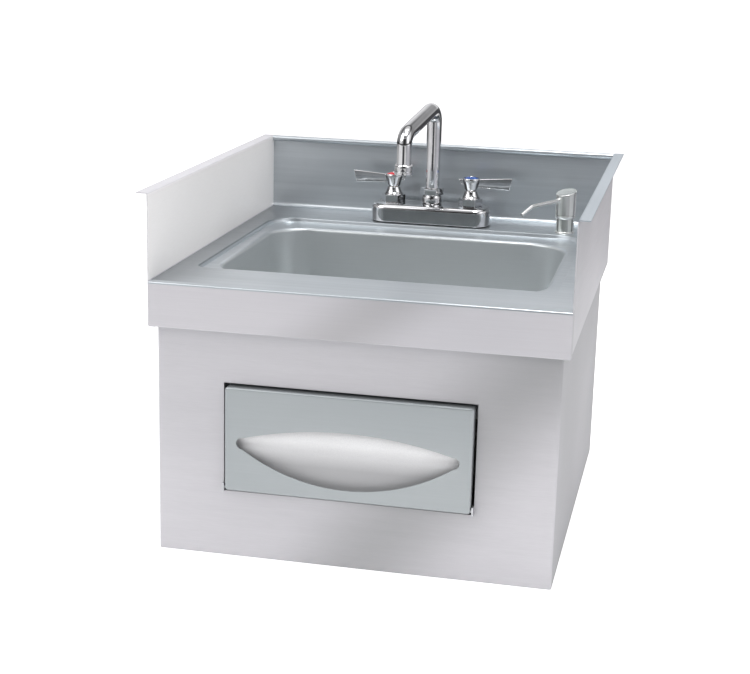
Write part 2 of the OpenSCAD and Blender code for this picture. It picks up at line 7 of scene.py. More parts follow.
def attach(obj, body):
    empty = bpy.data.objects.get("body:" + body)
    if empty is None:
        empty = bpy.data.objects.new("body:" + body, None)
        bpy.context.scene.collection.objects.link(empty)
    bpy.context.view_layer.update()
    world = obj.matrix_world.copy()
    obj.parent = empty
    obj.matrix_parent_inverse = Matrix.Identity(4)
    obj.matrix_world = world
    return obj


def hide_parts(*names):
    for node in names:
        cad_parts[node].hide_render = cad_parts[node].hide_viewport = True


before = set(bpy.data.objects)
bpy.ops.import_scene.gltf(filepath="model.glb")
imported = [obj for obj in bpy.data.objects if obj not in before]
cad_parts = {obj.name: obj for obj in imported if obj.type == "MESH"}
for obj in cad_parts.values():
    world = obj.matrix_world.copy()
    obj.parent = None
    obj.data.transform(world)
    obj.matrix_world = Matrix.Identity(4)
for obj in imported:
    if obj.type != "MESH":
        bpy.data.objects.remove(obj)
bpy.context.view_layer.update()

up = Vector((0, 0, 1))
deckTop = 0.308  # height of the deck over the counter
faucetPlace = (0, 0.196, deckTop)
stemX = 0.0508  # half of the 4 inch faucet centres
soapPlace = (0.175, 0.186, deckTop)


# helpers for working in object and edit mode

def deselectAll():
    if bpy.context.mode != "OBJECT":
        bpy.ops.object.mode_set(mode="OBJECT")
    bpy.ops.object.select_all(action="DESELECT")


def pick(piece):
    deselectAll()
    piece.select_set(True)
    bpy.context.view_layer.objects.active = piece


def freeze(piece):
    pick(piece)
    bpy.ops.object.transform_apply(location=True, rotation=True, scale=True)
    return piece


def near(a, b, slack=0.0002):
    return abs(a - b) < slack


def quarterTurn(steps):
    return [math.radians(90 * step / steps) for step in range(steps + 1)]


def openEdit(piece, kind):
    pickModes = {"VERT": (True, False, False), "EDGE": (False, True, False), "FACE": (False, False, True)}
    pick(piece)
    bpy.context.tool_settings.mesh_select_mode = pickModes[kind]
    mesh = piece.data
    for group in (mesh.vertices, mesh.edges, mesh.polygons):
        group.foreach_set("select", [False] * len(group))


def choosePoints(piece, test):
    openEdit(piece, "VERT")
    for point in piece.data.vertices:
        point.select = bool(test(point.co))
    bpy.ops.object.mode_set(mode="EDIT")


def chooseEdges(piece, test, onlyOpen=False):
    openEdit(piece, "EDGE")
    mesh = piece.data
    uses = {}
    if onlyOpen:
        for face in mesh.polygons:
            for key in face.edge_keys:
                uses[key] = uses.get(key, 0) + 1
    for edge in mesh.edges:
        if onlyOpen and uses.get(edge.key, 0) > 1:
            continue
        a, b = (mesh.vertices[i].co for i in edge.vertices)
        edge.select = bool(test((a + b) / 2, (b - a).normalized()))
    bpy.ops.object.mode_set(mode="EDIT")


def chooseFaces(piece, test=None):
    openEdit(piece, "FACE")
    for face in piece.data.polygons:
        face.select = test is None or bool(test(face.center, face.normal))
    bpy.ops.object.mode_set(mode="EDIT")


def chooseAll(piece):
    choosePoints(piece, lambda p: True)


def leaveEdit():
    bpy.ops.object.mode_set(mode="OBJECT")


def dropFaces(piece, test=None, kind="ONLY_FACE"):
    chooseFaces(piece, test)
    bpy.ops.mesh.delete(type=kind)
    leaveEdit()


def flipFaces(piece):
    chooseAll(piece)
    bpy.ops.mesh.flip_normals()
    leaveEdit()


def bisectPiece(piece, place, facing, trim=False):
    chooseAll(piece)
    bpy.ops.mesh.bisect(plane_co=place, plane_no=facing, use_fill=trim, clear_outer=trim)
    leaveEdit()


def pull(move):
    bpy.ops.mesh.extrude_region_move(TRANSFORM_OT_translate={"value": move})


def pullEdge(piece, test, move):
    chooseEdges(piece, test, onlyOpen=True)
    pull(move)
    leaveEdit()


def roundEdges(piece, test, width, segments=4):
    chooseEdges(piece, test)
    bpy.ops.mesh.bevel(offset=width, offset_type="OFFSET", segments=segments, affect="EDGES")
    leaveEdit()


def roundCorners(piece, test, radius, segments=8):
    choosePoints(piece, test)
    bpy.ops.mesh.bevel(offset=radius, offset_type="OFFSET", segments=segments, affect="VERTICES")
    leaveEdit()


def insetSteps(steps):
    for inward, raised in steps:
        bpy.ops.mesh.inset(thickness=inward, depth=raised, use_boundary=True, use_even_offset=True)


def applyModifier(piece, kind, **values):
    pick(piece)
    modifier = piece.modifiers.new(kind.title(), kind)
    for name, value in values.items():
        setattr(modifier, name, value)
    bpy.ops.object.modifier_apply(modifier=modifier.name)


def giveWall(piece, thickness, offset=-1.0):
    applyModifier(piece, "SOLIDIFY", thickness=thickness, offset=offset, use_even_offset=True)


def softenEdges(piece, width, segments=2, angle=30):
    applyModifier(piece, "BEVEL", width=width, segments=segments, limit_method="ANGLE",
                  angle_limit=math.radians(angle), use_clamp_overlap=True)


def smooth(piece, angle=32):
    pick(piece)
    bpy.ops.object.shade_smooth_by_angle(angle=math.radians(angle))


def cut(piece, cutter, operation="DIFFERENCE"):
    applyModifier(piece, "BOOLEAN", object=cutter, operation=operation, solver="EXACT")
    bpy.data.objects.remove(cutter, do_unlink=True)


def joinTo(piece, *others):
    pick(piece)
    for other in others:
        other.select_set(True)
    bpy.ops.object.join()
    return piece


def volumeOf(piece):
    mesh = piece.data
    mesh.calc_loop_triangles()
    corners = [[mesh.vertices[i].co for i in triangle.vertices] for triangle in mesh.loop_triangles]
    return sum(a.dot(b.cross(c)) for a, b, c in corners) / 6


def faceOut(piece):
    chooseAll(piece)
    bpy.ops.mesh.remove_doubles(threshold=0.00001)
    bpy.ops.mesh.normals_make_consistent(inside=False)
    leaveEdit()
    if volumeOf(piece) < 0:
        flipFaces(piece)


def spinRing(steps, angle, centre, axis):
    # with no window, spin turns the other way
    bpy.ops.mesh.spin(steps=steps, angle=-angle, center=centre, axis=axis)


def faceTowards(piece, direction):
    faceOut(piece)
    total = sum(face.area * face.normal.dot(Vector(direction)) for face in piece.data.polygons)
    if total < 0:
        flipFaces(piece)


def takeNew(name, scale=(1, 1, 1)):
    # the shape added last, named, with its turn and size applied
    piece = bpy.context.object
    piece.name = name
    piece.scale = scale
    return freeze(piece)


def addSheet(name, size, place, turn=(0, 0, 0)):
    deselectAll()
    bpy.ops.mesh.primitive_plane_add(size=1, location=place, rotation=turn)
    return takeNew(name, (*size, 1))


def addBlock(name, low, high):
    deselectAll()
    middle = [(a + b) / 2 for a, b in zip(low, high)]
    bpy.ops.mesh.primitive_cube_add(size=1, location=middle)
    return takeNew(name, [b - a for a, b in zip(low, high)])


def addRod(name, radius, depth, place, turn=(0, 0, 0), sides=32):
    deselectAll()
    bpy.ops.mesh.primitive_cylinder_add(vertices=sides, radius=radius, depth=depth, location=place,
                                        rotation=turn)
    return takeNew(name)


def addRing(name, radius, place, sides, turn=(0, 0, 0), fill="NOTHING"):
    deselectAll()
    bpy.ops.mesh.primitive_circle_add(vertices=sides, radius=radius, location=place, rotation=turn,
                                      fill_type=fill)
    return takeNew(name)


def addTurned(name, place, rings, sides=48, closed=True):
    # rings of (radius, height) over place, stacked by extruding and resizing a circle
    radius, height = rings[0]
    spot = Vector(place) + up * height
    piece = addRing(name, radius, spot, sides, fill="NGON" if closed else "NOTHING")
    chooseAll(piece)
    for nextRadius, nextHeight in rings[1:]:
        pull(up * (nextHeight - height))
        spot.z += nextHeight - height
        scale = nextRadius / radius
        bpy.ops.transform.resize(value=(scale, scale, 1), center_override=spot)
        radius, height = nextRadius, nextHeight
    leaveEdit()
    faceOut(piece)
    return piece


# each finish is a material with its own procedural pattern

def feedAll(tree, node, sources):
    # a source is another node's output, a number, or a colour of three parts
    for name, source in sources.items():
        if isinstance(source, bpy.types.NodeSocket):
            tree.links.new(source, node.inputs[name])
        else:
            node.inputs[name].default_value = (*source, 1) if isinstance(source, tuple) else source


def addNode(tree, kind, sources=None, **values):
    node = tree.nodes.new("ShaderNode" + kind)
    for name, value in values.items():
        if name in node.inputs:
            node.inputs[name].default_value = value
        else:
            setattr(node, name, value)
    feedAll(tree, node, sources or {})
    return node


def objectPlace(tree):
    return addNode(tree, "TexCoord").outputs["Object"]


def splitAxes(tree, vector):
    return addNode(tree, "SeparateXYZ", {"Vector": vector}).outputs


def calc(tree, kind, *sources, clamp=False):
    return addNode(tree, "Math", dict(enumerate(sources)), operation=kind, use_clamp=clamp).outputs[0]


def calcVector(tree, kind, *sources):
    return addNode(tree, "VectorMath", dict(enumerate(sources)), operation=kind).outputs[0]


def mapRange(tree, value, low, high, fromLow=0.0, fromHigh=1.0, kind="LINEAR"):
    ends = {"Value": value, "To Min": low, "To Max": high, "From Min": fromLow, "From Max": fromHigh}
    return addNode(tree, "MapRange", ends, interpolation_type=kind).outputs["Result"]


def makeNoise(tree, place, scale, detail=2.0, roughness=0.5):
    node = addNode(tree, "TexNoise", {"Vector": place, "Scale": scale}, Detail=detail, Roughness=roughness)
    return node.outputs["Fac"]


def addBump(tree, height, strength, distance, under=None):
    sources = {"Height": height}
    if under:
        sources["Normal"] = under
    return addNode(tree, "Bump", sources, Strength=strength, Distance=distance).outputs[0]


def blendColours(tree, share, first, second, kind="MIX"):
    return addNode(tree, "Mix", {0: share, 6: first, 7: second}, data_type="RGBA", blend_type=kind).outputs[2]


def blendValues(tree, share, first, second):
    return addNode(tree, "Mix", {0: share, 2: first, 3: second}).outputs[0]


def shadeColour(tree, share, colour, shade):
    return blendColours(tree, share, colour, blendColours(tree, 1.0, colour, shade, "MULTIPLY"))


def fillRamp(ramp, bands, blue=1.0):
    # a new ramp has one stop at each end; bands are (place, brightness)
    stops = ramp.color_ramp.elements
    for stop, (spot, shade) in ((stops[0], bands[0]), (stops[1], bands[-1])):
        stop.color = (shade, shade, shade * blue, 1)
    for spot, shade in bands[1:-1]:
        stops.new(spot).color = (shade, shade, shade * blue, 1)


def makeGroup(name, inputs, outputs):
    tree = bpy.data.node_groups.new(name, "ShaderNodeTree")
    for label, value in inputs.items():
        kind = "NodeSocketVector" if isinstance(value, tuple) else "NodeSocketFloat"
        tree.interface.new_socket(label, in_out="INPUT", socket_type=kind).default_value = value
    for label in outputs:
        tree.interface.new_socket(label, in_out="OUTPUT", socket_type="NodeSocketFloat")
    return tree, tree.nodes.new("NodeGroupInput").outputs, tree.nodes.new("NodeGroupOutput")


def makeGrainGroup():
    # brushing lines along X, or along Y on faces that look sideways
    tree, start, end = makeGroup("brushedGrain", {"Fineness": 700.0, "Length": 14.0}, ["Grain", "Streak"])
    place = addNode(tree, "TexCoord").outputs
    sideways = calc(tree, "GREATER_THAN", calc(tree, "ABSOLUTE", splitAxes(tree, place["Normal"])["X"]), 0.7)
    fine, long = start["Fineness"], start["Length"]
    along = addNode(tree, "CombineXYZ", {"X": long, "Y": fine, "Z": fine}).outputs[0]
    across = addNode(tree, "CombineXYZ", {"X": fine, "Y": long, "Z": fine}).outputs[0]
    chosen = addNode(tree, "Mix", {0: sideways, 4: along, 5: across}, data_type="VECTOR").outputs[1]
    stretched = calcVector(tree, "MULTIPLY", place["Object"], chosen)
    wide = addNode(tree, "VectorMath", {0: stretched}, operation="SCALE", Scale=0.14).outputs[0]
    feedAll(tree, end, {"Grain": makeNoise(tree, stretched, 1.0, 2.0, 0.6),
                        "Streak": makeNoise(tree, wide, 1.0, 3.0, 0.55)})
    return tree


def makeWavesGroup():
    # the slight unevenness of a large sheet, used as a bump and as painted soft shade in the colour
    tree, start, end = makeGroup("sheetWaves", {"Size": 4.0}, ["Wave"])
    turned = addNode(tree, "Mapping", {"Vector": objectPlace(tree)}, Rotation=(0.3, 0.75, 0.2),
                     Scale=(0.55, 1.0, 1.5))
    feedAll(tree, end, {"Wave": makeNoise(tree, turned.outputs[0], start["Size"], 1.0, 0.4)})
    return tree


def makeMarksGroup():
    # dried drops and wiping smears
    tree, start, end = makeGroup("waterMarks", {"Size": 60.0, "Amount": 0.3}, ["Marks"])
    place = objectPlace(tree)
    spots = addNode(tree, "TexVoronoi", {"Vector": place, "Scale": start["Size"]}, feature="F1")
    ring = mapRange(tree, spots.outputs["Distance"], 1.0, 0.0, 0.12, 0.3)
    patches = mapRange(tree, makeNoise(tree, place, 11.0, 3.0, 0.6), 0.0, 1.0, 0.48, 0.75)
    both = calc(tree, "MULTIPLY", ring, patches)
    feedAll(tree, end, {"Marks": calc(tree, "MULTIPLY", both, start["Amount"])})
    return tree


def makeWearShineGroup():
    # rubbed, brighter edges: partly wear and partly a painted highlight along sharp edges
    tree, start, end = makeGroup("edgeWearShine", {"Reach": 0.56}, ["Edge"])
    shape = addNode(tree, "NewGeometry").outputs["Pointiness"]
    feedAll(tree, end, {"Edge": mapRange(tree, shape, 0.0, 1.0, 0.505, start["Reach"])})
    return tree


def makeZoneGroup():
    # 1 inside a box, 0 outside it
    tree, start, end = makeGroup("zoneMask", {"Low": (0, 0, 0), "High": (1, 1, 1)}, ["Mask"])
    place = objectPlace(tree)
    above = calcVector(tree, "SUBTRACT", place, start["Low"])
    below = calcVector(tree, "SUBTRACT", start["High"], place)
    parts = splitAxes(tree, calcVector(tree, "MINIMUM", above, below))
    least = calc(tree, "MINIMUM", calc(tree, "MINIMUM", parts["X"], parts["Y"]), parts["Z"])
    feedAll(tree, end, {"Mask": mapRange(tree, least, 0.0, 1.0, 0.0, 0.0006)})
    return tree


def makePaintedShadeGroup():
    # one soft slanting band of painted shade over a front face
    tree, start, end = makeGroup("slantPaintedShade", {"Centre": (0, 0, 0), "Lean": 0.8, "Width": 0.1}, ["Band"])
    parts = splitAxes(tree, calcVector(tree, "SUBTRACT", objectPlace(tree), start["Centre"]))
    across = calc(tree, "SUBTRACT", parts["X"], calc(tree, "MULTIPLY", parts["Z"], start["Lean"]))
    share = calc(tree, "DIVIDE", calc(tree, "ABSOLUTE", across), start["Width"])
    feedAll(tree, end, {"Band": mapRange(tree, share, 1.0, 0.0, kind="SMOOTHSTEP")})
    return tree


grainGroup = makeGrainGroup()
wavesGroup = makeWavesGroup()
marksGroup = makeMarksGroup()
wearShineGroup = makeWearShineGroup()
zoneGroup = makeZoneGroup()
paintedShadeGroup = makePaintedShadeGroup()


def useGroup(tree, group, **values):
    node = tree.nodes.new("ShaderNodeGroup")
    node.node_tree = group
    for name, value in values.items():
        node.inputs[name].default_value = value
    return node.outputs


def startMaterial(name):
    material = bpy.data.materials.new(name)
    material.use_nodes = True
    tree = material.node_tree
    return material, tree, tree.nodes["Principled BSDF"]


# wear and a painted edge highlight: sharp edges blend towards a brighter colour
def wearShineEdges(tree, colour, amount, worn):
    edge = useGroup(tree, wearShineGroup)["Edge"]
    return blendColours(tree, mapRange(tree, edge, 0.0, amount), colour, worn)


def markedRoughness(tree, rough, size, amount):
    marks = useGroup(tree, marksGroup, Size=size, Amount=amount)["Marks"]
    return calc(tree, "ADD", rough, marks, clamp=True)


def makeSteel(name, look):
    material, tree, shader = startMaterial(name)
    grain = useGroup(tree, grainGroup, Fineness=look["fineness"], Length=look["length"])
    wave = useGroup(tree, wavesGroup, Size=look["waveSize"])["Wave"]
    streaky = mapRange(tree, grain["Streak"], 0.0, 1.0, 0.25, 0.75)
    colour = blendColours(tree, streaky, look["dark"], look["light"])
    metal = look["metallic"]
    rough = mapRange(tree, grain["Grain"], look["rough"] - 0.02, look["rough"] + 0.02, 0.25, 0.75)
    # painted light and shade: each zone gives its box a lit or shaded tone of the same steel, with its own
    # metallic and roughness
    for low, high, paintedTone, zoneMetal, zoneRough in look["zones"]:
        mask = useGroup(tree, zoneGroup, Low=low, High=high)["Mask"]
        colour = blendColours(tree, mask, colour, paintedTone)
        metal = blendValues(tree, mask, metal, zoneMetal)
        rough = blendValues(tree, mask, rough, zoneRough)
    fine = mapRange(tree, grain["Grain"], 1.0 - look["contrast"], 1.0, 0.3, 0.7)
    grey = addNode(tree, "CombineColor", {"Red": fine, "Green": fine, "Blue": fine}).outputs[0]
    colour = blendColours(tree, 1.0, colour, grey, "MULTIPLY")
    # painted shade: the waves darken the colour towards the shade tone
    colour = shadeColour(tree, mapRange(tree, wave, 0.0, look["waveShade"], 0.4, 0.68), colour, look["shade"])
    # painted shade: soft slanting bands darken the colour towards their depth tone
    for low, high, centre, lean, width, depth in look["sheens"]:
        mask = useGroup(tree, zoneGroup, Low=low, High=high)["Mask"]
        band = useGroup(tree, paintedShadeGroup, Centre=centre, Lean=lean, Width=width)["Band"]
        colour = shadeColour(tree, calc(tree, "MULTIPLY", mask, band), colour, depth)
    swell = addBump(tree, wave, look["waveBump"], 0.02)
    feedAll(tree, shader, {"Base Color": wearShineEdges(tree, colour, look["edge"], (0.93, 0.94, 0.96)),
                           "Metallic": metal, "Roughness": markedRoughness(tree, rough, 70.0, look["marks"]),
                           "Normal": addBump(tree, grain["Grain"], look["bump"], 0.0002, swell)})
    return material


def makePolished(name, look):
    material, tree, shader = startMaterial(name)
    haze = makeNoise(tree, objectPlace(tree), 90.0, 3.0)
    colour = blendColours(tree, mapRange(tree, haze, 0.0, 1.0, 0.35, 0.7), look["dark"], look["light"])
    # painted reflection: bright and dark bands by the angle to the eye, multiplied into the colour
    facing = addNode(tree, "LayerWeight", Blend=0.5).outputs["Facing"]
    paintedReflections = addNode(tree, "ValToRGB", {"Fac": facing})
    fillRamp(paintedReflections, [*look["paintedReflections"], (1.0, 1.0)])
    colour = blendColours(tree, 1.0, colour, paintedReflections.outputs["Color"], "MULTIPLY")
    rough = mapRange(tree, haze, look["rough"] * 0.6, look["rough"] * 1.5, 0.3, 0.7)
    feedAll(tree, shader, {"Base Color": wearShineEdges(tree, colour, 0.5, (0.97, 0.97, 0.98)),
                           "Metallic": look["metallic"],
                           "Roughness": markedRoughness(tree, rough, 260.0, look["marks"]),
                           "Normal": addBump(tree, haze, 0.04, 0.0005)})
    return material


def makeMoulded(name, look):
    material, tree, shader = startMaterial(name)
    place = objectPlace(tree)
    skin = makeNoise(tree, place, look["skin"], 4.0)
    cloudy = mapRange(tree, makeNoise(tree, place, 24.0), 0.0, 1.0, 0.3, 0.7)
    colour = blendColours(tree, cloudy, look["dark"], look["light"])
    rough = mapRange(tree, skin, look["rough"] - 0.08, look["rough"] + 0.08, 0.3, 0.7)
    feedAll(tree, shader, {"Base Color": wearShineEdges(tree, colour, 0.25, look["worn"]), "Roughness": rough,
                           "Coat Weight": look["coat"], "Normal": addBump(tree, skin, look["bump"], 0.0003)})
    return material


def makeBrass(name, look):
    # machined brass, with a thread's ridges along Z
    material, tree, shader = startMaterial(name)
    place = objectPlace(tree)
    tarnish = makeNoise(tree, place, 120.0, 4.0)
    share = mapRange(tree, tarnish, 0.0, 1.0, 0.4, 0.72)
    ridges = addNode(tree, "TexWave", {"Vector": place}, wave_type="BANDS", bands_direction="Z",
                     Scale=look["ridges"])
    colour = blendColours(tree, share, look["light"], look["dark"])
    feedAll(tree, shader, {"Base Color": colour, "Metallic": 1.0,
                           "Roughness": mapRange(tree, tarnish, 0.2, 0.42, 0.3, 0.7),
                           "Normal": addBump(tree, ridges.outputs["Fac"], look["bump"], 0.0006)})
    return material


def makePaper(name, look):
    material, tree, shader = startMaterial(name)
    place = objectPlace(tree)
    fibre = makeNoise(tree, place, 900.0, 4.0)
    emboss = addNode(tree, "TexVoronoi", {"Vector": place}, Scale=420.0).outputs["Distance"]
    plain = blendColours(tree, mapRange(tree, fibre, 0.0, 1.0, 0.3, 0.7), look["dark"], look["light"])
    # painted shadow under the fold: below these heights the towel darkens towards the under colour
    low, high = look["foldShadowBetween"]
    under = mapRange(tree, splitAxes(tree, place)["Z"], look["foldShadowShare"], 0.0, low, high)
    feedAll(tree, shader, {"Base Color": blendColours(tree, under, plain, look["under"]),
                           "Roughness": mapRange(tree, fibre, 0.82, 0.98),
                           "Normal": addBump(tree, fibre, 0.25, 0.0002, addBump(tree, emboss, 0.22, 0.0004))})
    return material


# boxes in which a sheet carries painted light and shade: a lit or shaded tone, or a band of painted shade
apronBox = ((-0.3, -0.3, 0.2565), (0.3, -0.2434, 0.3058))
coverBox = ((-0.3, -0.3, 0.05), (0.3, -0.225, 0.22))
bowlBox = ((-0.2, -0.17, 0.17), (0.2, 0.14, 0.3022))
deckBox = ((-0.3, -0.236, 0.3061), (0.3, 0.25, 0.309))
backBox = ((-0.3, 0.05, 0.315), (0.3, 0.3, 0.41))
flangeBox = ((0.15, -0.3, 0.4016), (0.3, 0.3, 0.5))
rightBox = ((0.2180, -0.235, -0.1), (0.25, 0.3, 0.262))
leftInnerBox = ((-0.2279, -0.3, 0.309), (-0.2, 0.3, 0.4026))
frontBox = ((-0.3, -0.24, -0.1), (0.3, -0.2345, 0.31))

# zones of painted light: box, lit or shaded tone, metallic, roughness; bands of painted shade: box, centre,
# lean, width, depth as the tone of the painted shade
plainSteel = {"dark": (0.40, 0.41, 0.43), "light": (0.52, 0.53, 0.55), "shade": (0.80, 0.80, 0.80),
              "fineness": 500.0, "length": 30.0, "contrast": 0.10, "waveSize": 6.0, "waveShade": 0.4,
              "edge": 0.4, "marks": 0.12, "rough": 0.45, "bump": 0.08, "waveBump": 0.04, "metallic": 1.0,
              "zones": [], "sheens": []}
screwLook = {**plainSteel, "dark": (0.48, 0.49, 0.50), "light": (0.62, 0.63, 0.64), "fineness": 1500.0,
             "length": 200.0, "contrast": 0.15, "waveSize": 20.0, "waveShade": 0.2, "edge": 0.6,
             "marks": 0.05, "rough": 0.30, "bump": 0.10, "waveBump": 0.0}
deckLook = {**plainSteel, "dark": (0.50, 0.54, 0.57), "light": (0.60, 0.64, 0.67),
            "shade": (0.80, 0.82, 0.84), "fineness": 900.0, "length": 16.0, "contrast": 0.03, "waveSize": 5.0,
            "edge": 0.05, "marks": 0.06, "rough": 0.30, "bump": 0.02, "metallic": 0.75,
            # painted light and shade: a lighter apron front, a darker towel cover and a darker bowl
            "zones": [(*apronBox, (0.70, 0.685, 0.715), 0.35, 0.46),
                      (*coverBox, (0.45, 0.48, 0.49), 0.6, 0.34),
                      (*bowlBox, (0.56, 0.59, 0.60), 0.6, 0.32)],
            # painted shade: a slanting band on the apron, a dark band along the deck's left edge beside the
            # splash and a faint band on the back splash
            "sheens": [(*apronBox, (0.01, 0, 0.283), 1.3, 0.09, (0.8, 0.8, 0.79)),
                       (*deckBox, (-0.232, 0, 0.308), 0.0, 0.085, (0.42, 0.43, 0.44)),
                       (*backBox, (-0.1, 0, 0.36), 0.4, 0.2, (0.93, 0.93, 0.93))]}
skirtLook = {**plainSteel, "dark": (0.71, 0.695, 0.725), "light": (0.74, 0.725, 0.755),
             "shade": (0.75, 0.76, 0.76), "fineness": 1100.0, "length": 60.0, "contrast": 0.04,
             "waveSize": 3.2, "waveShade": 0.6, "edge": 0.03, "marks": 0.04, "rough": 0.46, "bump": 0.05,
             "waveBump": 0.05, "metallic": 0.3,
             # painted reflection: a blue-grey top on the right flange; painted shade: a darker right side;
             # painted light: a paler inner face on the left splash
             "zones": [(*flangeBox, (0.52, 0.58, 0.63), 0.6, 0.32),
                       (*rightBox, (0.485, 0.48, 0.50), 0.3, 0.46),
                       (*leftInnerBox, (0.97, 0.95, 0.94), 0.1, 0.46)],
             # painted shade: a slanting band over the skirt's front
             "sheens": [(*frontBox, (0.10, 0, 0.12), 0.80, 0.12, (0.70, 0.71, 0.70))]}

# painted reflections: how far the face turns from the eye, brightness
chromeLook = {"dark": (0.82, 0.82, 0.83), "light": (0.92, 0.92, 0.93), "marks": 0.03, "rough": 0.035,
              "metallic": 1.0, "paintedReflections": [(0, 0.42), (0.05, 0.46), (0.11, 1.0), (0.24, 1.0), (0.34, 0.16),
                                           (0.54, 0.22), (0.72, 0.95)]}
pumpLook = {"dark": (0.76, 0.79, 0.75), "light": (0.86, 0.88, 0.84), "marks": 0.03, "rough": 0.06,
            "metallic": 0.7, "paintedReflections": [(0, 0.60), (0.06, 0.60), (0.10, 1.0), (0.28, 1.0), (0.34, 0.30),
                                         (0.46, 0.35), (0.54, 1.0)]}
brassLook = {"light": (0.66, 0.47, 0.18), "dark": (0.42, 0.27, 0.09), "ridges": 240.0, "bump": 0.7}
rubberLook = {"dark": (0.012, 0.012, 0.012), "light": (0.03, 0.03, 0.03), "worn": (0.08, 0.08, 0.08),
              "skin": 800.0, "rough": 0.7, "coat": 0.0, "bump": 0.25}
nylonLook = {"dark": (0.74, 0.74, 0.70), "light": (0.84, 0.84, 0.80), "worn": (0.9, 0.9, 0.88),
             "skin": 500.0, "rough": 0.42, "coat": 0.05, "bump": 0.15}
bottleLook = {"dark": (0.72, 0.73, 0.68), "light": (0.83, 0.84, 0.79), "worn": (0.92, 0.92, 0.88),
              "skin": 260.0, "rough": 0.3, "coat": 0.15, "bump": 0.1}
redLook = {"dark": (0.42, 0.005, 0.012), "light": (0.62, 0.015, 0.03), "worn": (0.75, 0.12, 0.12),
           "skin": 600.0, "rough": 0.18, "coat": 0.6, "bump": 0.05}
blueLook = {**redLook, "dark": (0.005, 0.05, 0.28), "light": (0.01, 0.11, 0.45), "worn": (0.12, 0.25, 0.6)}
# under: the colour of the painted shadow beneath the fold
paperLook = {"dark": (0.90, 0.90, 0.91), "light": (0.98, 0.98, 0.98), "under": (0.42, 0.42, 0.43),
             "foldShadowShare": 0.8, "foldShadowBetween": (0.112, 0.142)}

finishes = {
    "deck_steel": makeSteel("deckSteel", deckLook),
    "skirt_steel": makeSteel("skirtSteel", skirtLook),
    "hidden_steel": makeSteel("millSteel", plainSteel),
    "screw_steel": makeSteel("screwSteel", screwLook),
    "chrome": makePolished("faucetChrome", chromeLook),
    "soap_chrome": makePolished("pumpChrome", pumpLook),
    "brass": makeBrass("threadedBrass", brassLook),
    "rubber": makeMoulded("blackRubber", rubberLook),
    "white_plastic": makeMoulded("whiteNylon", nylonLook),
    "bottle_plastic": makeMoulded("milkyBottle", bottleLook),
    "hot_red": makeMoulded("glossRed", redLook),
    "cold_blue": makeMoulded("glossBlue", blueLook),
    "towel_paper": makePaper("towelPaper", paperLook),
}
print("Stage: finishes made")


def finishPiece(piece, body, slotName, *nodes, angle=32):
    freeze(piece)
    smooth(piece, angle)
    applyModifier(piece, "WEIGHTED_NORMAL", keep_sharp=True, weight=80)
    piece.data.materials.clear()
    piece.data.materials.append(finishes[slotName])
    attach(piece, body)
    if nodes:
        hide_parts(*nodes)
    return piece


# camera

camera = {"place": (0.3582, -1.8231, 0.6949), "yaw": 12.0, "pitch": 14.87, "roll": 1.47, "lens": 76.46}


def makeCamera(values):
    data = bpy.data.cameras.new("studioCamera")
    data.lens = values["lens"]
    data.sensor_width = 36
    data.clip_start = 0.05
    data.clip_end = 30
    piece = bpy.data.objects.new("studioCamera", data)
    bpy.context.scene.collection.objects.link(piece)
    turn = Matrix.Rotation(math.radians(values["yaw"]), 4, "Z")
    turn = turn @ Matrix.Rotation(math.radians(90 - values["pitch"]), 4, "X")
    turn = turn @ Matrix.Rotation(math.radians(values["roll"]), 4, "Z")
    piece.matrix_world = Matrix.Translation(values["place"]) @ turn
    bpy.context.scene.camera = piece


makeCamera(camera)
print("Stage: camera set")


# deck, with a drawn ledge round the bowl and an apron folded down in front

deck = {"halfWidth": 0.2279, "front": -0.245, "back": 0.2436, "apronLow": 0.258, "apronBack": -0.237,
        "stepX": 0.2035, "stepFront": -0.159, "stepBack": 0.165, "frontRadius": 0.012, "backRadius": 0.038,
        # the step's wall, as inward and upward moves, and the height that it falls
        "wall": [(0.0003, -0.00025), (0.0005, -0.0012), (0.0004, -0.0021), (0.0005, -0.0012),
                 (0.0003, -0.00025)],
        "fall": 0.005, "openX": 0.1905, "openFront": -0.1565, "openBack": 0.130, "openRadius": 0.0519,
        # the flat part between the step and the folds
        "flatX": 0.215, "flatFront": -0.236, "flatBack": 0.174,
        "sheet": 0.0012, "nosing": 0.0018, "hem": 0.0015, "stemHole": 0.014, "soapHole": 0.011}


def outlineSheet(name, x, y0, y1, z, frontRadius, backRadius, segments=9):
    piece = addSheet(name, (2 * x, y1 - y0), (0, (y0 + y1) / 2, z))
    roundCorners(piece, lambda p: near(p.y, y0), frontRadius, segments)
    roundCorners(piece, lambda p: near(p.y, y1), backRadius, segments)
    return piece


def fillBetween(piece, height):
    chooseEdges(piece, lambda m, a: near(m.z, height), onlyOpen=True)
    bpy.ops.mesh.fill(use_beauty=True)
    leaveEdit()


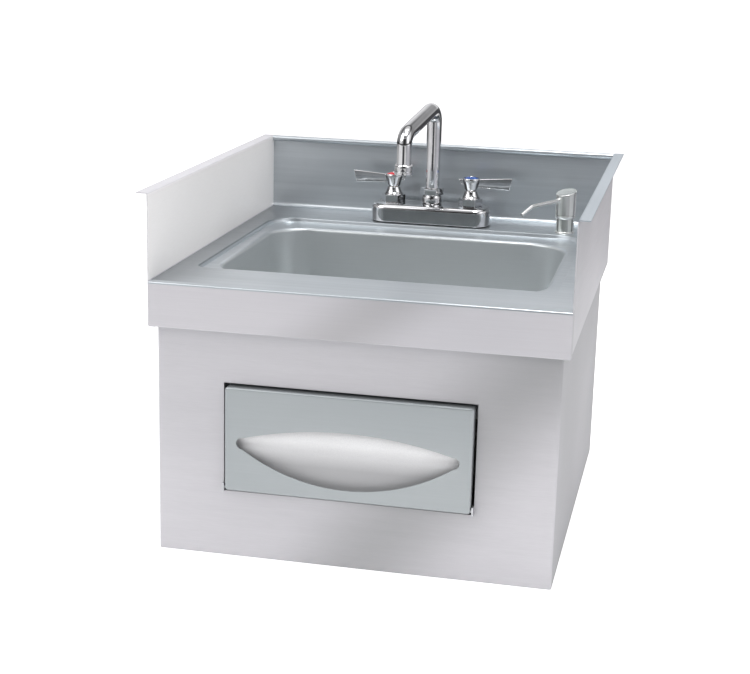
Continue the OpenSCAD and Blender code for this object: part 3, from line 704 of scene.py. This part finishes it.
def makeDeck(d):
    top = outlineSheet("deckPressing", d["stepX"], d["stepFront"], d["stepBack"], deckTop, d["frontRadius"],
                       d["backRadius"])
    chooseFaces(top)
    insetSteps(d["wall"])
    bpy.ops.mesh.delete(type="ONLY_FACE")
    leaveEdit()
    ledge = deckTop - d["fall"]
    radius = d["openRadius"]
    hole = outlineSheet("hole", d["openX"], d["openFront"], d["openBack"], ledge, radius, radius)
    border = addSheet("border", (2 * d["flatX"], d["flatBack"] - d["flatFront"]),
                      (0, (d["flatBack"] + d["flatFront"]) / 2, deckTop))
    for sheet in (hole, border):
        dropFaces(sheet)
    joinTo(top, hole, border)
    fillBetween(top, ledge)
    fillBetween(top, deckTop)
    pullEdge(top, lambda m, a: near(m.y, d["flatFront"]), (0, d["front"] - d["flatFront"], 0))
    for side in (-1, 1):
        pullEdge(top, lambda m, a: near(m.x, side * d["flatX"]) and near(m.z, deckTop) and abs(a.y) > 0.9,
                 (side * (d["halfWidth"] - d["flatX"]), 0, 0))
    pullEdge(top, lambda m, a: near(m.y, d["flatBack"]) and near(m.z, deckTop) and abs(a.x) > 0.9,
             (0, d["back"] - d["flatBack"], 0))
    pullEdge(top, lambda m, a: near(m.y, d["front"]) and abs(a.x) > 0.9, (0, 0, d["apronLow"] - deckTop))
    pullEdge(top, lambda m, a: near(m.z, d["apronLow"]), (0, d["apronBack"] - d["front"], 0))
    faceTowards(top, (0, 0, 1))
    for height, width, segments in ((deckTop, d["nosing"], 6), (d["apronLow"], d["hem"], 4)):
        roundEdges(top, lambda m, a: near(m.y, d["front"]) and near(m.z, height) and abs(a.x) > 0.9, width,
                   segments)
    giveWall(top, d["sheet"])
    x, y, z = faucetPlace
    for side in (-1, 1):
        cut(top, addRod("cutter", d["stemHole"], 0.01, (x + side * stemX, y, z)))
    cut(top, addRod("cutter", d["soapHole"], 0.01, soapPlace))
    return finishPiece(top, "sink", "deck_steel", "deck_panel", angle=40)


makeDeck(deck)
print("Stage: deck made")


# drawn bowl: rolled rim, drafted walls, round foot

bowl = {"x": 0.1908, "front": -0.1568, "back": 0.1303, "rimZ": 0.30312, "radius": 0.0522, "floorZ": 0.181,
        "foot": 0.040, "draft": 0.0036, "wallSteps": 4, "roll": 0.0045, "sheet": 0.0012,
        "drain": (0, -0.0145), "drainHole": 0.0226}


def makeBowl(d):
    piece = outlineSheet("bowlShell", d["x"], d["front"], d["back"], d["rimZ"], d["radius"], d["radius"], 14)
    roll, foot = d["roll"], d["foot"]
    steps = []
    turns = quarterTurn(4)
    for a, b in zip(turns, turns[1:]):
        steps.append((roll * (math.sin(b) - math.sin(a)), -roll * (math.cos(a) - math.cos(b))))
    drop = d["rimZ"] - roll - d["floorZ"] - foot
    steps += [(d["draft"] / d["wallSteps"], -drop / d["wallSteps"])] * d["wallSteps"]
    turns = quarterTurn(9)
    for a, b in zip(turns, turns[1:]):
        steps.append((foot * (math.cos(a) - math.cos(b)), -foot * (math.sin(b) - math.sin(a))))
    chooseFaces(piece)
    insetSteps(steps)
    leaveEdit()
    giveWall(piece, d["sheet"])
    x, y = d["drain"]
    cut(piece, addRod("cutter", d["drainHole"], 0.02, (x, y, d["floorZ"]), sides=64))
    return finishPiece(piece, "sink", "deck_steel", "bowl", angle=50)


makeBowl(bowl)
print("Stage: bowl made")


# splashes

splash = {"top": 0.404, "low": 0.258, "sideX": 0.2279, "front": -0.2449, "back": 0.2449, "flange": 0.2405,
          "returnX": 0.2205, "sheet": 0.0012, "fold": 0.0018, "backHalf": 0.2272, "backY": 0.245,
          "bead": 0.0035,
          # the rounded inside corner: face, foot and radius
          "coveY": 0.2436, "coveGap": 0.00005, "coveHigh": 0.01005, "coveDeep": 0.0085, "cove": 0.006,
          "coveSheet": 0.0008}


def makeSideSplash(d, side, name, node):
    high = d["top"] - d["sheet"] / 2
    low = d["low"] + d["sheet"] / 2
    piece = addSheet(name, (d["back"] - d["front"], high - low),
                     (side * d["sideX"], (d["front"] + d["back"]) / 2, (high + low) / 2),
                     (math.pi / 2, 0, math.pi / 2))
    pullEdge(piece, lambda m, a: near(m.z, high), (side * (d["flange"] - d["sideX"]), 0, 0))
    pullEdge(piece, lambda m, a: near(m.z, low), (side * (d["returnX"] - d["sideX"]), 0, 0))
    faceTowards(piece, (side, 0, 0))
    roundEdges(piece, lambda m, a: near(abs(m.x), d["sideX"]) and near(m.z, high), d["fold"], 4)
    roundEdges(piece, lambda m, a: near(abs(m.x), d["sideX"]) and near(m.z, low), d["fold"] * 0.7, 3)
    giveWall(piece, d["sheet"], 0.0)
    softenEdges(piece, 0.00025, 2, 60)
    return finishPiece(piece, "sink", "skirt_steel", node)


def makeBackSplash(d):
    half, back = d["backHalf"], d["backY"]
    straight = d["top"] - d["bead"]
    piece = addSheet("backSplash", (2 * half, straight - d["low"]), (0, back, (straight + d["low"]) / 2),
                     (math.pi / 2, 0, 0))
    chooseEdges(piece, lambda m, a: near(m.z, straight))
    spinRing(16, math.radians(300), (0, back - d["bead"], straight), (1, 0, 0))
    leaveEdit()
    faceTowards(piece, (0, 1, 0))
    giveWall(piece, d["sheet"])
    foot, high = deckTop + d["coveGap"], deckTop + d["coveHigh"]
    cove = addSheet("cove", (2 * half, high - foot), (0, d["coveY"], (foot + high) / 2), (math.pi / 2, 0, 0))
    pullEdge(cove, lambda m, a: near(m.z, foot), (0, -d["coveDeep"], 0))
    roundEdges(cove, lambda m, a: near(m.y, d["coveY"]) and near(m.z, foot), d["cove"], 8)
    faceTowards(cove, (0, -1, 1))
    giveWall(cove, d["coveSheet"])
    joinTo(piece, cove)
    return finishPiece(piece, "sink", "deck_steel", "back_splash", angle=40)


makeSideSplash(splash, -1, "leftSplash", "left_splash")
makeSideSplash(splash, 1, "rightSplash", "right_splash")
makeBackSplash(splash)
print("Stage: splashes made")


# skirt, one sheet bent round three sides with its foot turned in

skirt = {"x": 0.2199, "front": -0.2364, "back": 0.2432, "top": 0.300, "returnTop": 0.256, "returnWide": 0.020,
         "footStart": -0.222, "footWide": 0.0234, "frontFoot": 0.0144, "sheet": 0.0012, "bend": 0.0022,
         "mouth": (-0.145, 0.134, 0.076, 0.200), "footHoles": (0.207, 0.200, 0.0035),
         "clipY": (-0.1, 0.12), "clipZ": 0.28, "clipHole": 0.0025}


def makeSkirt(d):
    half = d["sheet"] / 2
    piece = addSheet("skirtWrap", (2 * d["x"], d["top"] - half), (0, d["front"], (d["top"] + half) / 2),
                     (math.pi / 2, 0, 0))
    for side in (-1, 1):
        pullEdge(piece, lambda m, a: near(m.x, side * d["x"]) and abs(a.z) > 0.9,
                 (0, d["back"] - d["front"], 0))
    bisectPiece(piece, (0, 0, d["returnTop"]), (0, 0, 1))
    bisectPiece(piece, (0, d["footStart"], 0), (0, 1, 0))
    for side in (-1, 1):
        pullEdge(piece, lambda m, a: near(m.y, d["back"]) and side * m.x > 0 and m.z < d["returnTop"] - 0.01
                 and abs(a.z) > 0.9, (-side * d["returnWide"], 0, 0))
        pullEdge(piece, lambda m, a: near(m.z, half) and near(m.x, side * d["x"]) and abs(a.y) > 0.9
                 and m.y > d["footStart"] + 0.001, (-side * d["footWide"], 0, 0))
    pullEdge(piece, lambda m, a: near(m.z, half) and near(m.y, d["front"]), (0, d["frontFoot"], 0))
    faceTowards(piece, (0, -1, 0))
    roundEdges(piece, lambda m, a: near(abs(m.x), d["x"]) and near(m.y, d["front"]) and abs(a.z) > 0.9,
               d["bend"], 5)
    giveWall(piece, d["sheet"], 0.0)
    x0, x1, z0, z1 = d["mouth"]
    cut(piece, addBlock("cutter", (x0, d["front"] - 0.004, z0), (x1, d["front"] + 0.004, z1)))
    x, y, radius = d["footHoles"]
    for side in (-1, 1):
        for holeY in (-y, y):
            cut(piece, addRod("cutter", radius, 0.01, (side * x, holeY, 0)))
        for holeY in d["clipY"]:
            cut(piece, addRod("cutter", d["clipHole"], 0.01, (side * d["x"], holeY, d["clipZ"]),
                              (0, math.pi / 2, 0)))
    return finishPiece(piece, "sink", "skirt_steel", "skirt_front", "skirt_left", "skirt_right")


makeSkirt(skirt)
print("Stage: skirt made")


# towel cover: a shallow pan with an eye-shaped window

cover = {"x": (-0.142, 0.131), "z": (0.079, 0.197), "front": -0.245, "back": -0.227, "lowBack": -0.238,
         "corner": 0.0035, "edge": 0.0026, "sheet": 0.0012, "hem": 0.00035,
         # the window: two arcs by radius and middle height, cut short and closed with a round end
         "windowX": -0.0055, "upR": 0.42602, "upZ": -0.26902, "downR": 0.2074, "downZ": 0.2994,
         "cutX": 0.1165, "endR": 0.0066, "endZ": 0.1346}


def windowRod(d, away, radius, height, sides=32, depth=0.03):
    place = (d["windowX"] + away, d["front"], height)
    return addRod("lens", radius, depth, place, (math.pi / 2, 0, 0), sides)


def makeLens(d):
    lens = windowRod(d, 0, d["upR"], d["upZ"], 640)
    cut(lens, windowRod(d, 0, d["downR"], d["downZ"], 320, 0.04), "INTERSECT")
    for side in (-1, 1):
        bisectPiece(lens, (d["windowX"] + side * d["cutX"], 0, 0), (side, 0, 0), trim=True)
    faceOut(lens)
    return lens


def makeCover(d):
    x0, x1 = d["x"]
    z0, z1 = d["z"]
    piece = addBlock("towelCover", (x0, d["front"], z0), (x1, d["back"], z1))
    dropFaces(piece, lambda c, n: n.y > 0.9, "FACE")
    chooseEdges(piece, lambda m, a: near(m.y, d["back"]) and near(m.z, z0))
    bpy.ops.transform.translate(value=(0, d["lowBack"] - d["back"], 0))
    leaveEdit()
    roundEdges(piece, lambda m, a: abs(a.y) > 0.9 or (m.z < z0 + 0.0001 and abs(a.y) > 0.5), d["corner"], 5)
    roundEdges(piece, lambda m, a: near(m.y, d["front"]), d["edge"], 5)
    faceOut(piece)
    giveWall(piece, d["sheet"])
    cut(piece, makeLens(d))
    for side in (-1, 1):
        cut(piece, windowRod(d, side * d["cutX"], d["endR"], d["endZ"]))
    softenEdges(piece, d["hem"], 2, 50)
    return finishPiece(piece, "towel_cover", "deck_steel", "towel_cover", angle=40)


makeCover(cover)
print("Stage: towel cover made")


# folded paper towels, the first one bulging towards the window

towel = {"x": (-0.134, 0.123), "z": (0.0770, 0.1685), "front": -0.2355, "sheet": 0.0009, "layers": 12,
         "pitch": 0.0068, "bulgeX": (-0.107, -0.056, 0.0, 0.048, 0.097), "bulgeZ": 0.143, "bulgeReach": 0.034,
         "bulge": 0.0042, "creaseZ": 0.1335, "crease": 0.0032, "creaseReach": 0.007, "hem": 0.004,
         "sway": 0.0012}


def pushPoints(move, reach, falloff):
    bpy.ops.transform.translate(value=(0, move, 0), use_proportional_edit=True, proportional_size=reach,
                                proportional_edit_falloff=falloff)
    leaveEdit()


def makeTowels(d):
    x0, x1 = d["x"]
    z0, z1 = d["z"]
    middle = ((x0 + x1) / 2, d["front"], (z0 + z1) / 2)
    deselectAll()
    bpy.ops.mesh.primitive_grid_add(x_subdivisions=48, y_subdivisions=28, size=1, location=middle,
                                    rotation=(math.pi / 2, 0, 0))
    first = takeNew("towelFront", (x1 - x0, z1 - z0, 1))
    for x in d["bulgeX"]:
        choosePoints(first, lambda p: abs(p.x - x) < 0.012 and abs(p.z - d["bulgeZ"]) < 0.003)
        pushPoints(-d["bulge"], d["bulgeReach"], "SMOOTH")
    choosePoints(first, lambda p: near(p.z, d["creaseZ"], 0.0022))
    pushPoints(d["crease"], d["creaseReach"], "SHARP")
    for edge in (z0, z1):
        pullEdge(first, lambda m, a: near(m.z, edge) and abs(a.x) > 0.5, (0, d["hem"], 0))
    faceTowards(first, (0, -1, 0))
    applyModifier(first, "SUBSURF", levels=1, render_levels=1)
    giveWall(first, d["sheet"])
    finishPiece(first, "sink", "towel_paper", "towels", angle=60)
    stackFront = d["front"] + d["hem"]
    layer = addBlock("towelLayer01", (x0 + 0.001, stackFront, z0 + 0.0005),
                     (x1 - 0.001, stackFront + d["pitch"] * 0.93, z1 - 0.001))
    roundEdges(layer, lambda m, a: abs(a.x) > 0.9, d["pitch"] * 0.44, 4)
    softenEdges(layer, 0.0004, 2, 60)
    finishPiece(layer, "sink", "towel_paper", angle=50)
    for index in range(1, d["layers"]):
        copy = layer.copy()
        copy.data = layer.data.copy()
        copy.name = f"towelLayer{index + 1:02d}"
        bpy.context.scene.collection.objects.link(copy)
        copy.data.transform(Matrix.Translation((d["sway"] * math.sin(index * 2.3), d["pitch"] * index, 0)))


makeTowels(towel)
print("Stage: towels made")


# faucet body: a crowned block with rounded ends

block = {"x": 0.078, "y": 0.027, "low": 0.0015, "high": 0.0243, "corner": 0.0205, "crownEdge": 0.0062,
         "crown": [(0.003, 0.0003), (0.004, 0.0002), (0.005, 0.0001)], "footEdge": 0.0008}


def makeFaucetBlock(d):
    x, y, z = faucetPlace
    low, high = z + d["low"], z + d["high"]
    piece = addBlock("faucetBlock", (x - d["x"], y - d["y"], low), (x + d["x"], y + d["y"], high))
    roundEdges(piece, lambda m, a: abs(a.z) > 0.9, d["corner"], 10)
    roundEdges(piece, lambda m, a: near(m.z, high), d["crownEdge"], 7)
    chooseFaces(piece, lambda c, n: n.z > 0.99)
    insetSteps(d["crown"])
    leaveEdit()
    roundEdges(piece, lambda m, a: near(m.z, low) and abs(a.z) < 0.1, d["footEdge"], 3)
    faceOut(piece)
    return finishPiece(piece, "sink", "chrome", "faucet_body", angle=50)


makeFaucetBlock(block)
print("Stage: faucet body made")


# swing spout: a tube bent twice

spout = {"turn": 9.0, "radius": 0.0095, "wall": 0.0015, "low": 0.013, "bend": 0.016, "slope": 12.5,
         "reach": 0.110, "top": 0.1505, "outlet": 0.082, "shellZ": 0.078, "shellWall": 0.0006,
         "shell": [(0.0088, 0), (0.0102, 0), (0.011, 0.0008), (0.011, 0.0036), (0.0106, 0.0042),
                   (0.011, 0.0048), (0.011, 0.0098), (0.0104, 0.0113), (0.0098, 0.012)]}


def headingOf(angle):
    turn = math.radians(-90 - angle)
    return Vector((math.cos(turn), math.sin(turn), 0))


def makeSpout(d):
    forward = headingOf(d["turn"])
    axis = up.cross(forward)
    base = Vector(faucetPlace)
    bend, reach = d["bend"], d["reach"]
    firstTurn = math.radians(90 + d["slope"])
    secondTurn = math.radians(90 - d["slope"])
    start = d["top"] - bend * math.tan(firstTurn / 2)
    end = d["top"] - reach * math.tan(math.radians(d["slope"])) - bend * math.tan(secondTurn / 2)
    piece = addRing("spoutTube", d["radius"], base + up * d["low"], 40)
    chooseAll(piece)
    pull(up * (start - d["low"]))
    spinRing(14, firstTurn, base + forward * bend + up * start, axis)
    run = reach - bend * (2 - math.cos(firstTurn) - math.cos(secondTurn))
    fall = end - start + bend * (math.sin(secondTurn) - math.sin(firstTurn))
    pull(forward * run + up * fall)
    spinRing(11, secondTurn, base + forward * (reach - bend) + up * end, axis)
    pull(up * (d["outlet"] - end))
    leaveEdit()
    faceOut(piece)
    giveWall(piece, d["wall"])
    return finishPiece(piece, "spout", "chrome", "spout_tube", angle=40)


def makeAerator(d):
    place = Vector(faucetPlace) + headingOf(d["turn"]) * d["reach"] + up * d["shellZ"]
    piece = addTurned("aeratorShell", place, d["shell"], closed=False)
    giveWall(piece, d["shellWall"])
    return finishPiece(piece, "spout", "chrome", "aerator_shell", angle=40)


makeSpout(spout)
makeAerator(spout)
print("Stage: spout made")


# lever handles

lever = {"hub": [(0.0075, 0.045), (0.0083, 0.0456), (0.0088, 0.047), (0.0100, 0.0515), (0.0112, 0.0555),
                 (0.0119, 0.0582), (0.0120, 0.0597), (0.0115, 0.0607), (0.0105, 0.061), (0.0099, 0.0609),
                 (0.0098, 0.0598)], "thick": 0.005, "edge": 0.0009,
         # (out, up) at root low, root high, tip high, tip low
         "blade": [(0, 0.0495), (0, 0.0595), (0.0535, 0.0632), (0.050, 0.0478)],
         "nub": [(0, 0.050), (0, 0.0598), (-0.0165, 0.059), (-0.013, 0.053)]}


def bladePlate(name, place, side, corners, thick, edge):
    # a straight block whose four ends are then moved to their corners
    x, y, z = place
    low, high = 0.045, 0.060
    tip = side * math.copysign(max(abs(out) for out, raised in corners), corners[2][0])
    plate = addBlock(name, (x + min(0, tip), y - thick / 2, z + low),
                     (x + max(0, tip), y + thick / 2, z + high))
    for (out, raised), fromX, fromZ in zip(corners, (0, 0, tip, tip), (low, high, high, low)):
        choosePoints(plate, lambda p: near(p.x, x + fromX) and near(p.z, z + fromZ))
        bpy.ops.transform.translate(value=(side * out - fromX, 0, raised - fromZ))
        leaveEdit()
    roundEdges(plate, lambda m, a: abs(a.y) < 0.5, edge, 5)
    faceOut(plate)
    return plate


def makeLever(d, side, name, body, node):
    x, y, z = faucetPlace
    place = (x + side * stemX, y, z)
    hub = addTurned(name, place, d["hub"])
    blade = bladePlate("blade", place, side, d["blade"], d["thick"], d["edge"])
    nub = bladePlate("nub", place, side, d["nub"], d["thick"], d["edge"])
    joinTo(hub, blade, nub)
    return finishPiece(hub, body, "chrome", node, angle=40)


makeLever(lever, -1, "hotLever", "hot_handle", "hot_handle")
makeLever(lever, 1, "coldLever", "cold_handle", "cold_handle")
print("Stage: levers made")


# soap pump

soap = {"turn": 39.0, "radius": 0.0132, "low": 0.018, "top": 0.052, "slant": 14.0, "edge": 0.0009,
        # the head's wall, as (inset, height over its low end)
        "wall": [(0.0014, 0), (0.0008, 0.0003), (0, 0.0022), (0, 0.0040), (0.0004, 0.0044), (0.0004, 0.0050),
                 (0, 0.0054), (0, 0.040)],
        "hollow": 0.0014, "hollowTop": 0.044, "stem": 0.00406, "stemZ": 0.0423,
        "rootZ": 0.042, "rootOut": 0.0119, "tilt": 4.0, "reach": 0.0479, "drop": 24.0, "bend": 0.006,
        "tip": 0.0195, "taper": 0.86, "pipe": 0.0024, "pipeWall": 0.0008,
        "beadOut": 0.0139, "beadZ": 0.0419, "beadRadius": 0.0027, "beadThick": 0.0009}


def makeSoapHead(d):
    base = Vector(soapPlace)
    forward = headingOf(d["turn"])
    rings = [(d["radius"] - inset, d["low"] + height) for inset, height in d["wall"]]
    head = addTurned("soapHead", base, rings, 56)
    slant = math.radians(d["slant"])
    facing = forward * math.sin(slant) + up * math.cos(slant)
    bisectPiece(head, base + up * d["top"], facing, trim=True)
    faceOut(head)
    chooseFaces(head, lambda c, n: n.dot(facing) > 0.99)
    bpy.ops.mesh.bevel(offset=d["edge"], segments=4, affect="EDGES")
    leaveEdit()
    low, high = d["low"] - 0.002, d["hollowTop"]
    cut(head, addRod("cutter", d["radius"] - d["hollow"], high - low, base + up * (high + low) / 2, sides=48))
    cut(head, addRod("cutter", d["stem"], 0.012, base + up * d["stemZ"]))
    return finishPiece(head, "soap_head", "soap_chrome", "soap_head", angle=35)


def makeNozzle(d):
    base = Vector(soapPlace)
    forward = headingOf(d["turn"])
    axis = up.cross(forward)
    tilt, drop = math.radians(d["tilt"]), math.radians(d["drop"])
    direction = forward * math.cos(tilt) - up * math.sin(tilt)
    facing = direction.to_track_quat("Z", "Y").to_euler()
    start = base + forward * d["rootOut"] + up * d["rootZ"]
    pipe = addRing("soapNozzle", d["pipe"], start, 24, facing)
    back = d["bend"] * math.tan(drop / 2)
    corner = start + direction * (d["reach"] - back)
    end = Matrix.Rotation(drop, 3, axis) @ direction
    chooseAll(pipe)
    pull(corner - start)
    spinRing(6, drop, corner + axis.cross(direction) * d["bend"], axis)
    pull(end * (d["tip"] - back))
    tipPlace = start + direction * d["reach"] + end * d["tip"]
    bpy.ops.transform.resize(value=[d["taper"]] * 3, center_override=tipPlace)
    leaveEdit()
    faceOut(pipe)
    giveWall(pipe, d["pipeWall"])
    deselectAll()
    beadPlace = base + forward * d["beadOut"] + up * d["beadZ"]
    bpy.ops.mesh.primitive_torus_add(major_radius=d["beadRadius"], minor_radius=d["beadThick"],
                                     major_segments=32, minor_segments=10, location=beadPlace,
                                     rotation=facing)
    joinTo(pipe, takeNew("bead"))
    return finishPiece(pipe, "soap_head", "soap_chrome", "soap_nozzle", angle=50)


makeSoapHead(soap)
makeNozzle(soap)
print("Stage: soap pump made")


# the other fittings: their solids merged, edges eased and given a finish

fittings = {
    # node: (body, slot, edge radius, shading angle if not the usual one)
    "rear_brace": ("sink", "hidden_steel", 0.0003, 30),
    "skirt_clips": ("sink", "hidden_steel", 0.0003, 30),
    "skirt_screws": ("sink", "screw_steel", 0.0004),
    "drain_body": ("sink", "chrome", 0.0004),
    "drain_gasket": ("sink", "rubber", 0.0004),
    "drain_nut": ("sink", "brass", 0.0006),
    "drain_strainer": ("sink", "chrome", 0.0002),
    "strainer_screw": ("sink", "screw_steel", 0.0003),
    "tailpiece": ("sink", "chrome", 0.0003),
    "slip_nut": ("sink", "chrome", 0.0006),
    "faucet_gasket": ("sink", "rubber", 0.0003),
    "hot_shank": ("sink", "brass", 0.0004),
    "cold_shank": ("sink", "brass", 0.0004),
    "shank_nuts": ("sink", "white_plastic", 0.0008),
    "hot_bonnet": ("sink", "chrome", 0.0005),
    "cold_bonnet": ("sink", "chrome", 0.0005),
    "hot_stem": ("hot_handle", "brass", 0.0003),
    "cold_stem": ("cold_handle", "brass", 0.0003),
    "hot_index": ("hot_handle", "hot_red", 0.0003),
    "cold_index": ("cold_handle", "cold_blue", 0.0003),
    "hot_screw": ("hot_handle", "chrome", 0.0004),
    "cold_screw": ("cold_handle", "chrome", 0.0004),
    "spout_nut": ("sink", "chrome", 0.0005),
    "spout_oring": ("sink", "rubber", 0.0004),
    "aerator_screen": ("spout", "screw_steel", 0.0),
    "soap_collar": ("sink", "soap_chrome", 0.0004),
    "soap_gasket": ("sink", "rubber", 0.0003),
    "soap_nut": ("sink", "white_plastic", 0.0006),
    "soap_plunger": ("soap_plunger", "white_plastic", 0.0003),
    "soap_spring": ("sink", "screw_steel", 0.0, 60),
    "pump_body": ("sink", "white_plastic", 0.0004),
    "dip_tube": ("sink", "white_plastic", 0.0),
    "soap_bottle": ("sink", "bottle_plastic", 0.0008),
    "towel_cabinet": ("sink", "hidden_steel", 0.0003, 30),
    "hinge_pins": ("sink", "screw_steel", 0.0003),
    "cabinet_studs": ("sink", "screw_steel", 0.0003),
    "cabinet_nuts": ("sink", "screw_steel", 0.0003),
}


def pieceName(node):
    words = node.split("_")
    return words[0] + "".join(word.title() for word in words[1:]) + ("Pipe" if len(words) == 1 else "")


def makeFitting(node, body, slotName, width, angle=35):
    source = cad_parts[node]
    piece = bpy.data.objects.new(pieceName(node), source.data.copy())
    bpy.context.scene.collection.objects.link(piece)
    chooseAll(piece)
    bpy.ops.mesh.remove_doubles(threshold=0.00001)
    bpy.ops.mesh.dissolve_limited(angle_limit=math.radians(0.8))
    leaveEdit()
    if width > 0:
        softenEdges(piece, width, 2, 30)
    return finishPiece(piece, body, slotName, node, angle=angle)


for node, row in fittings.items():
    makeFitting(node, *row)
print("Stage: fittings made")


# plain pale floor and soft studio light

studio = {"floor": (0.86, 0.86, 0.86), "floorGlow": 0.30, "floorSeen": 0.45, "sky": 0.85, "aim": (0, 0, 0.25),
          "key": {"size": 2.4, "power": 29, "place": (-1.6, -1.6, 2.4)},
          "fill": {"size": 2.0, "power": 8, "place": (2.4, -1.0, 1.5)},
          "top": {"size": 1.6, "power": 8, "place": (0.1, 0.5, 2.3)},
          "basin": {"size": 0.4, "power": 3.5, "place": (0.17, -0.22, 1.15)},
          # the floor's dark ends, seen only in reflections: bright between these Y, and beside this X
          "floorEnds": (-1.35, 1.3), "floorSide": 0.75, "floorDark": (0.04, 0.04, 0.045),
          # sky bands: height of the direction, brightness
          "bands": [(0.0, 0.14), (0.09, 0.14), (0.13, 0.90), (0.34, 0.95), (0.62, 1.0), (0.66, 0.30),
                    (0.76, 0.30), (0.80, 0.80), (1.0, 0.60)],
          # dark panels: bearing from the front in degrees, half width in degrees, brightness
          "panels": [(10, 22, 0.08), (-75, 7, 0.15), (80, 7, 0.15)], "panelTop": 0.55, "skySeen": 1.4}


def makeFloor(d):
    floor = addSheet("studioFloor", (120, 120), (0, 40, -0.0004))
    material, tree, shader = startMaterial("paleFloor")
    place = objectPlace(tree)
    mottle = mapRange(tree, makeNoise(tree, place, 1.5), 0.0, 0.2)
    colour = blendColours(tree, mottle, d["floor"], (1.0, 1.0, 1.0))
    seen = addNode(tree, "LightPath").outputs["Is Camera Ray"]
    parts = splitAxes(tree, place)
    front, back = d["floorEnds"]
    ahead = mapRange(tree, parts["Y"], 1.0, 0.0, front - 0.15, front)
    behind = mapRange(tree, parts["Y"], 0.0, 1.0, back, back + 0.3)
    side = calc(tree, "ABSOLUTE", parts["X"])
    middle = mapRange(tree, side, 1.0, 0.0, d["floorSide"] - 0.1, d["floorSide"] + 0.1)
    dark = calc(tree, "MAXIMUM", calc(tree, "MULTIPLY", ahead, middle), behind)
    share = calc(tree, "MULTIPLY", dark, calc(tree, "SUBTRACT", 1.0, seen))
    shown = blendColours(tree, share, colour, d["floorDark"])
    glow = mapRange(tree, seen, d["floorGlow"], d["floorGlow"] + d["floorSeen"])
    feedAll(tree, shader, {"Base Color": shown, "Emission Color": shown, "Emission Strength": glow,
                           "Roughness": 0.9})
    floor.data.materials.append(material)


def makeLamp(name, d, aim):
    data = bpy.data.lights.new(name, "AREA")
    data.shape = "DISK"
    data.size = d["size"]
    data.energy = d["power"]
    lamp = bpy.data.objects.new(name, data)
    lamp.location = d["place"]
    lamp.rotation_euler = (Vector(aim) - Vector(d["place"])).to_track_quat("-Z", "Y").to_euler()
    bpy.context.scene.collection.objects.link(lamp)


def makeSky(d):
    world = bpy.data.worlds.new("studioSky")
    bpy.context.scene.world = world
    world.use_nodes = True
    tree = world.node_tree
    parts = splitAxes(tree, addNode(tree, "TexCoord").outputs["Generated"])
    ramp = addNode(tree, "ValToRGB", {"Fac": parts["Z"]})
    fillRamp(ramp, d["bands"], blue=1.02)
    colour = ramp.outputs["Color"]
    bearing = calc(tree, "ARCTAN2", parts["X"], calc(tree, "MULTIPLY", parts["Y"], -1.0))
    below = mapRange(tree, parts["Z"], 1.0, 0.0, d["panelTop"], d["panelTop"] + 0.04)
    for middle, half, shade in d["panels"]:
        away = calc(tree, "ABSOLUTE", calc(tree, "SUBTRACT", bearing, math.radians(middle)))
        inside = mapRange(tree, away, 1.0, 0.0, math.radians(half - 2), math.radians(half + 2))
        colour = blendColours(tree, calc(tree, "MULTIPLY", inside, below), colour, (shade, shade, shade))
    seen = addNode(tree, "LightPath").outputs["Is Camera Ray"]
    shown = blendColours(tree, seen, colour, (d["skySeen"],) * 3)
    feedAll(tree, tree.nodes["Background"], {"Color": shown, "Strength": d["sky"]})


makeFloor(studio)
for lampName in ("key", "fill", "top", "basin"):
    makeLamp(lampName + "Lamp", studio[lampName], studio["aim"])
makeSky(studio)
bpy.context.scene.view_settings.view_transform = "Standard"
print("Stage: studio made")
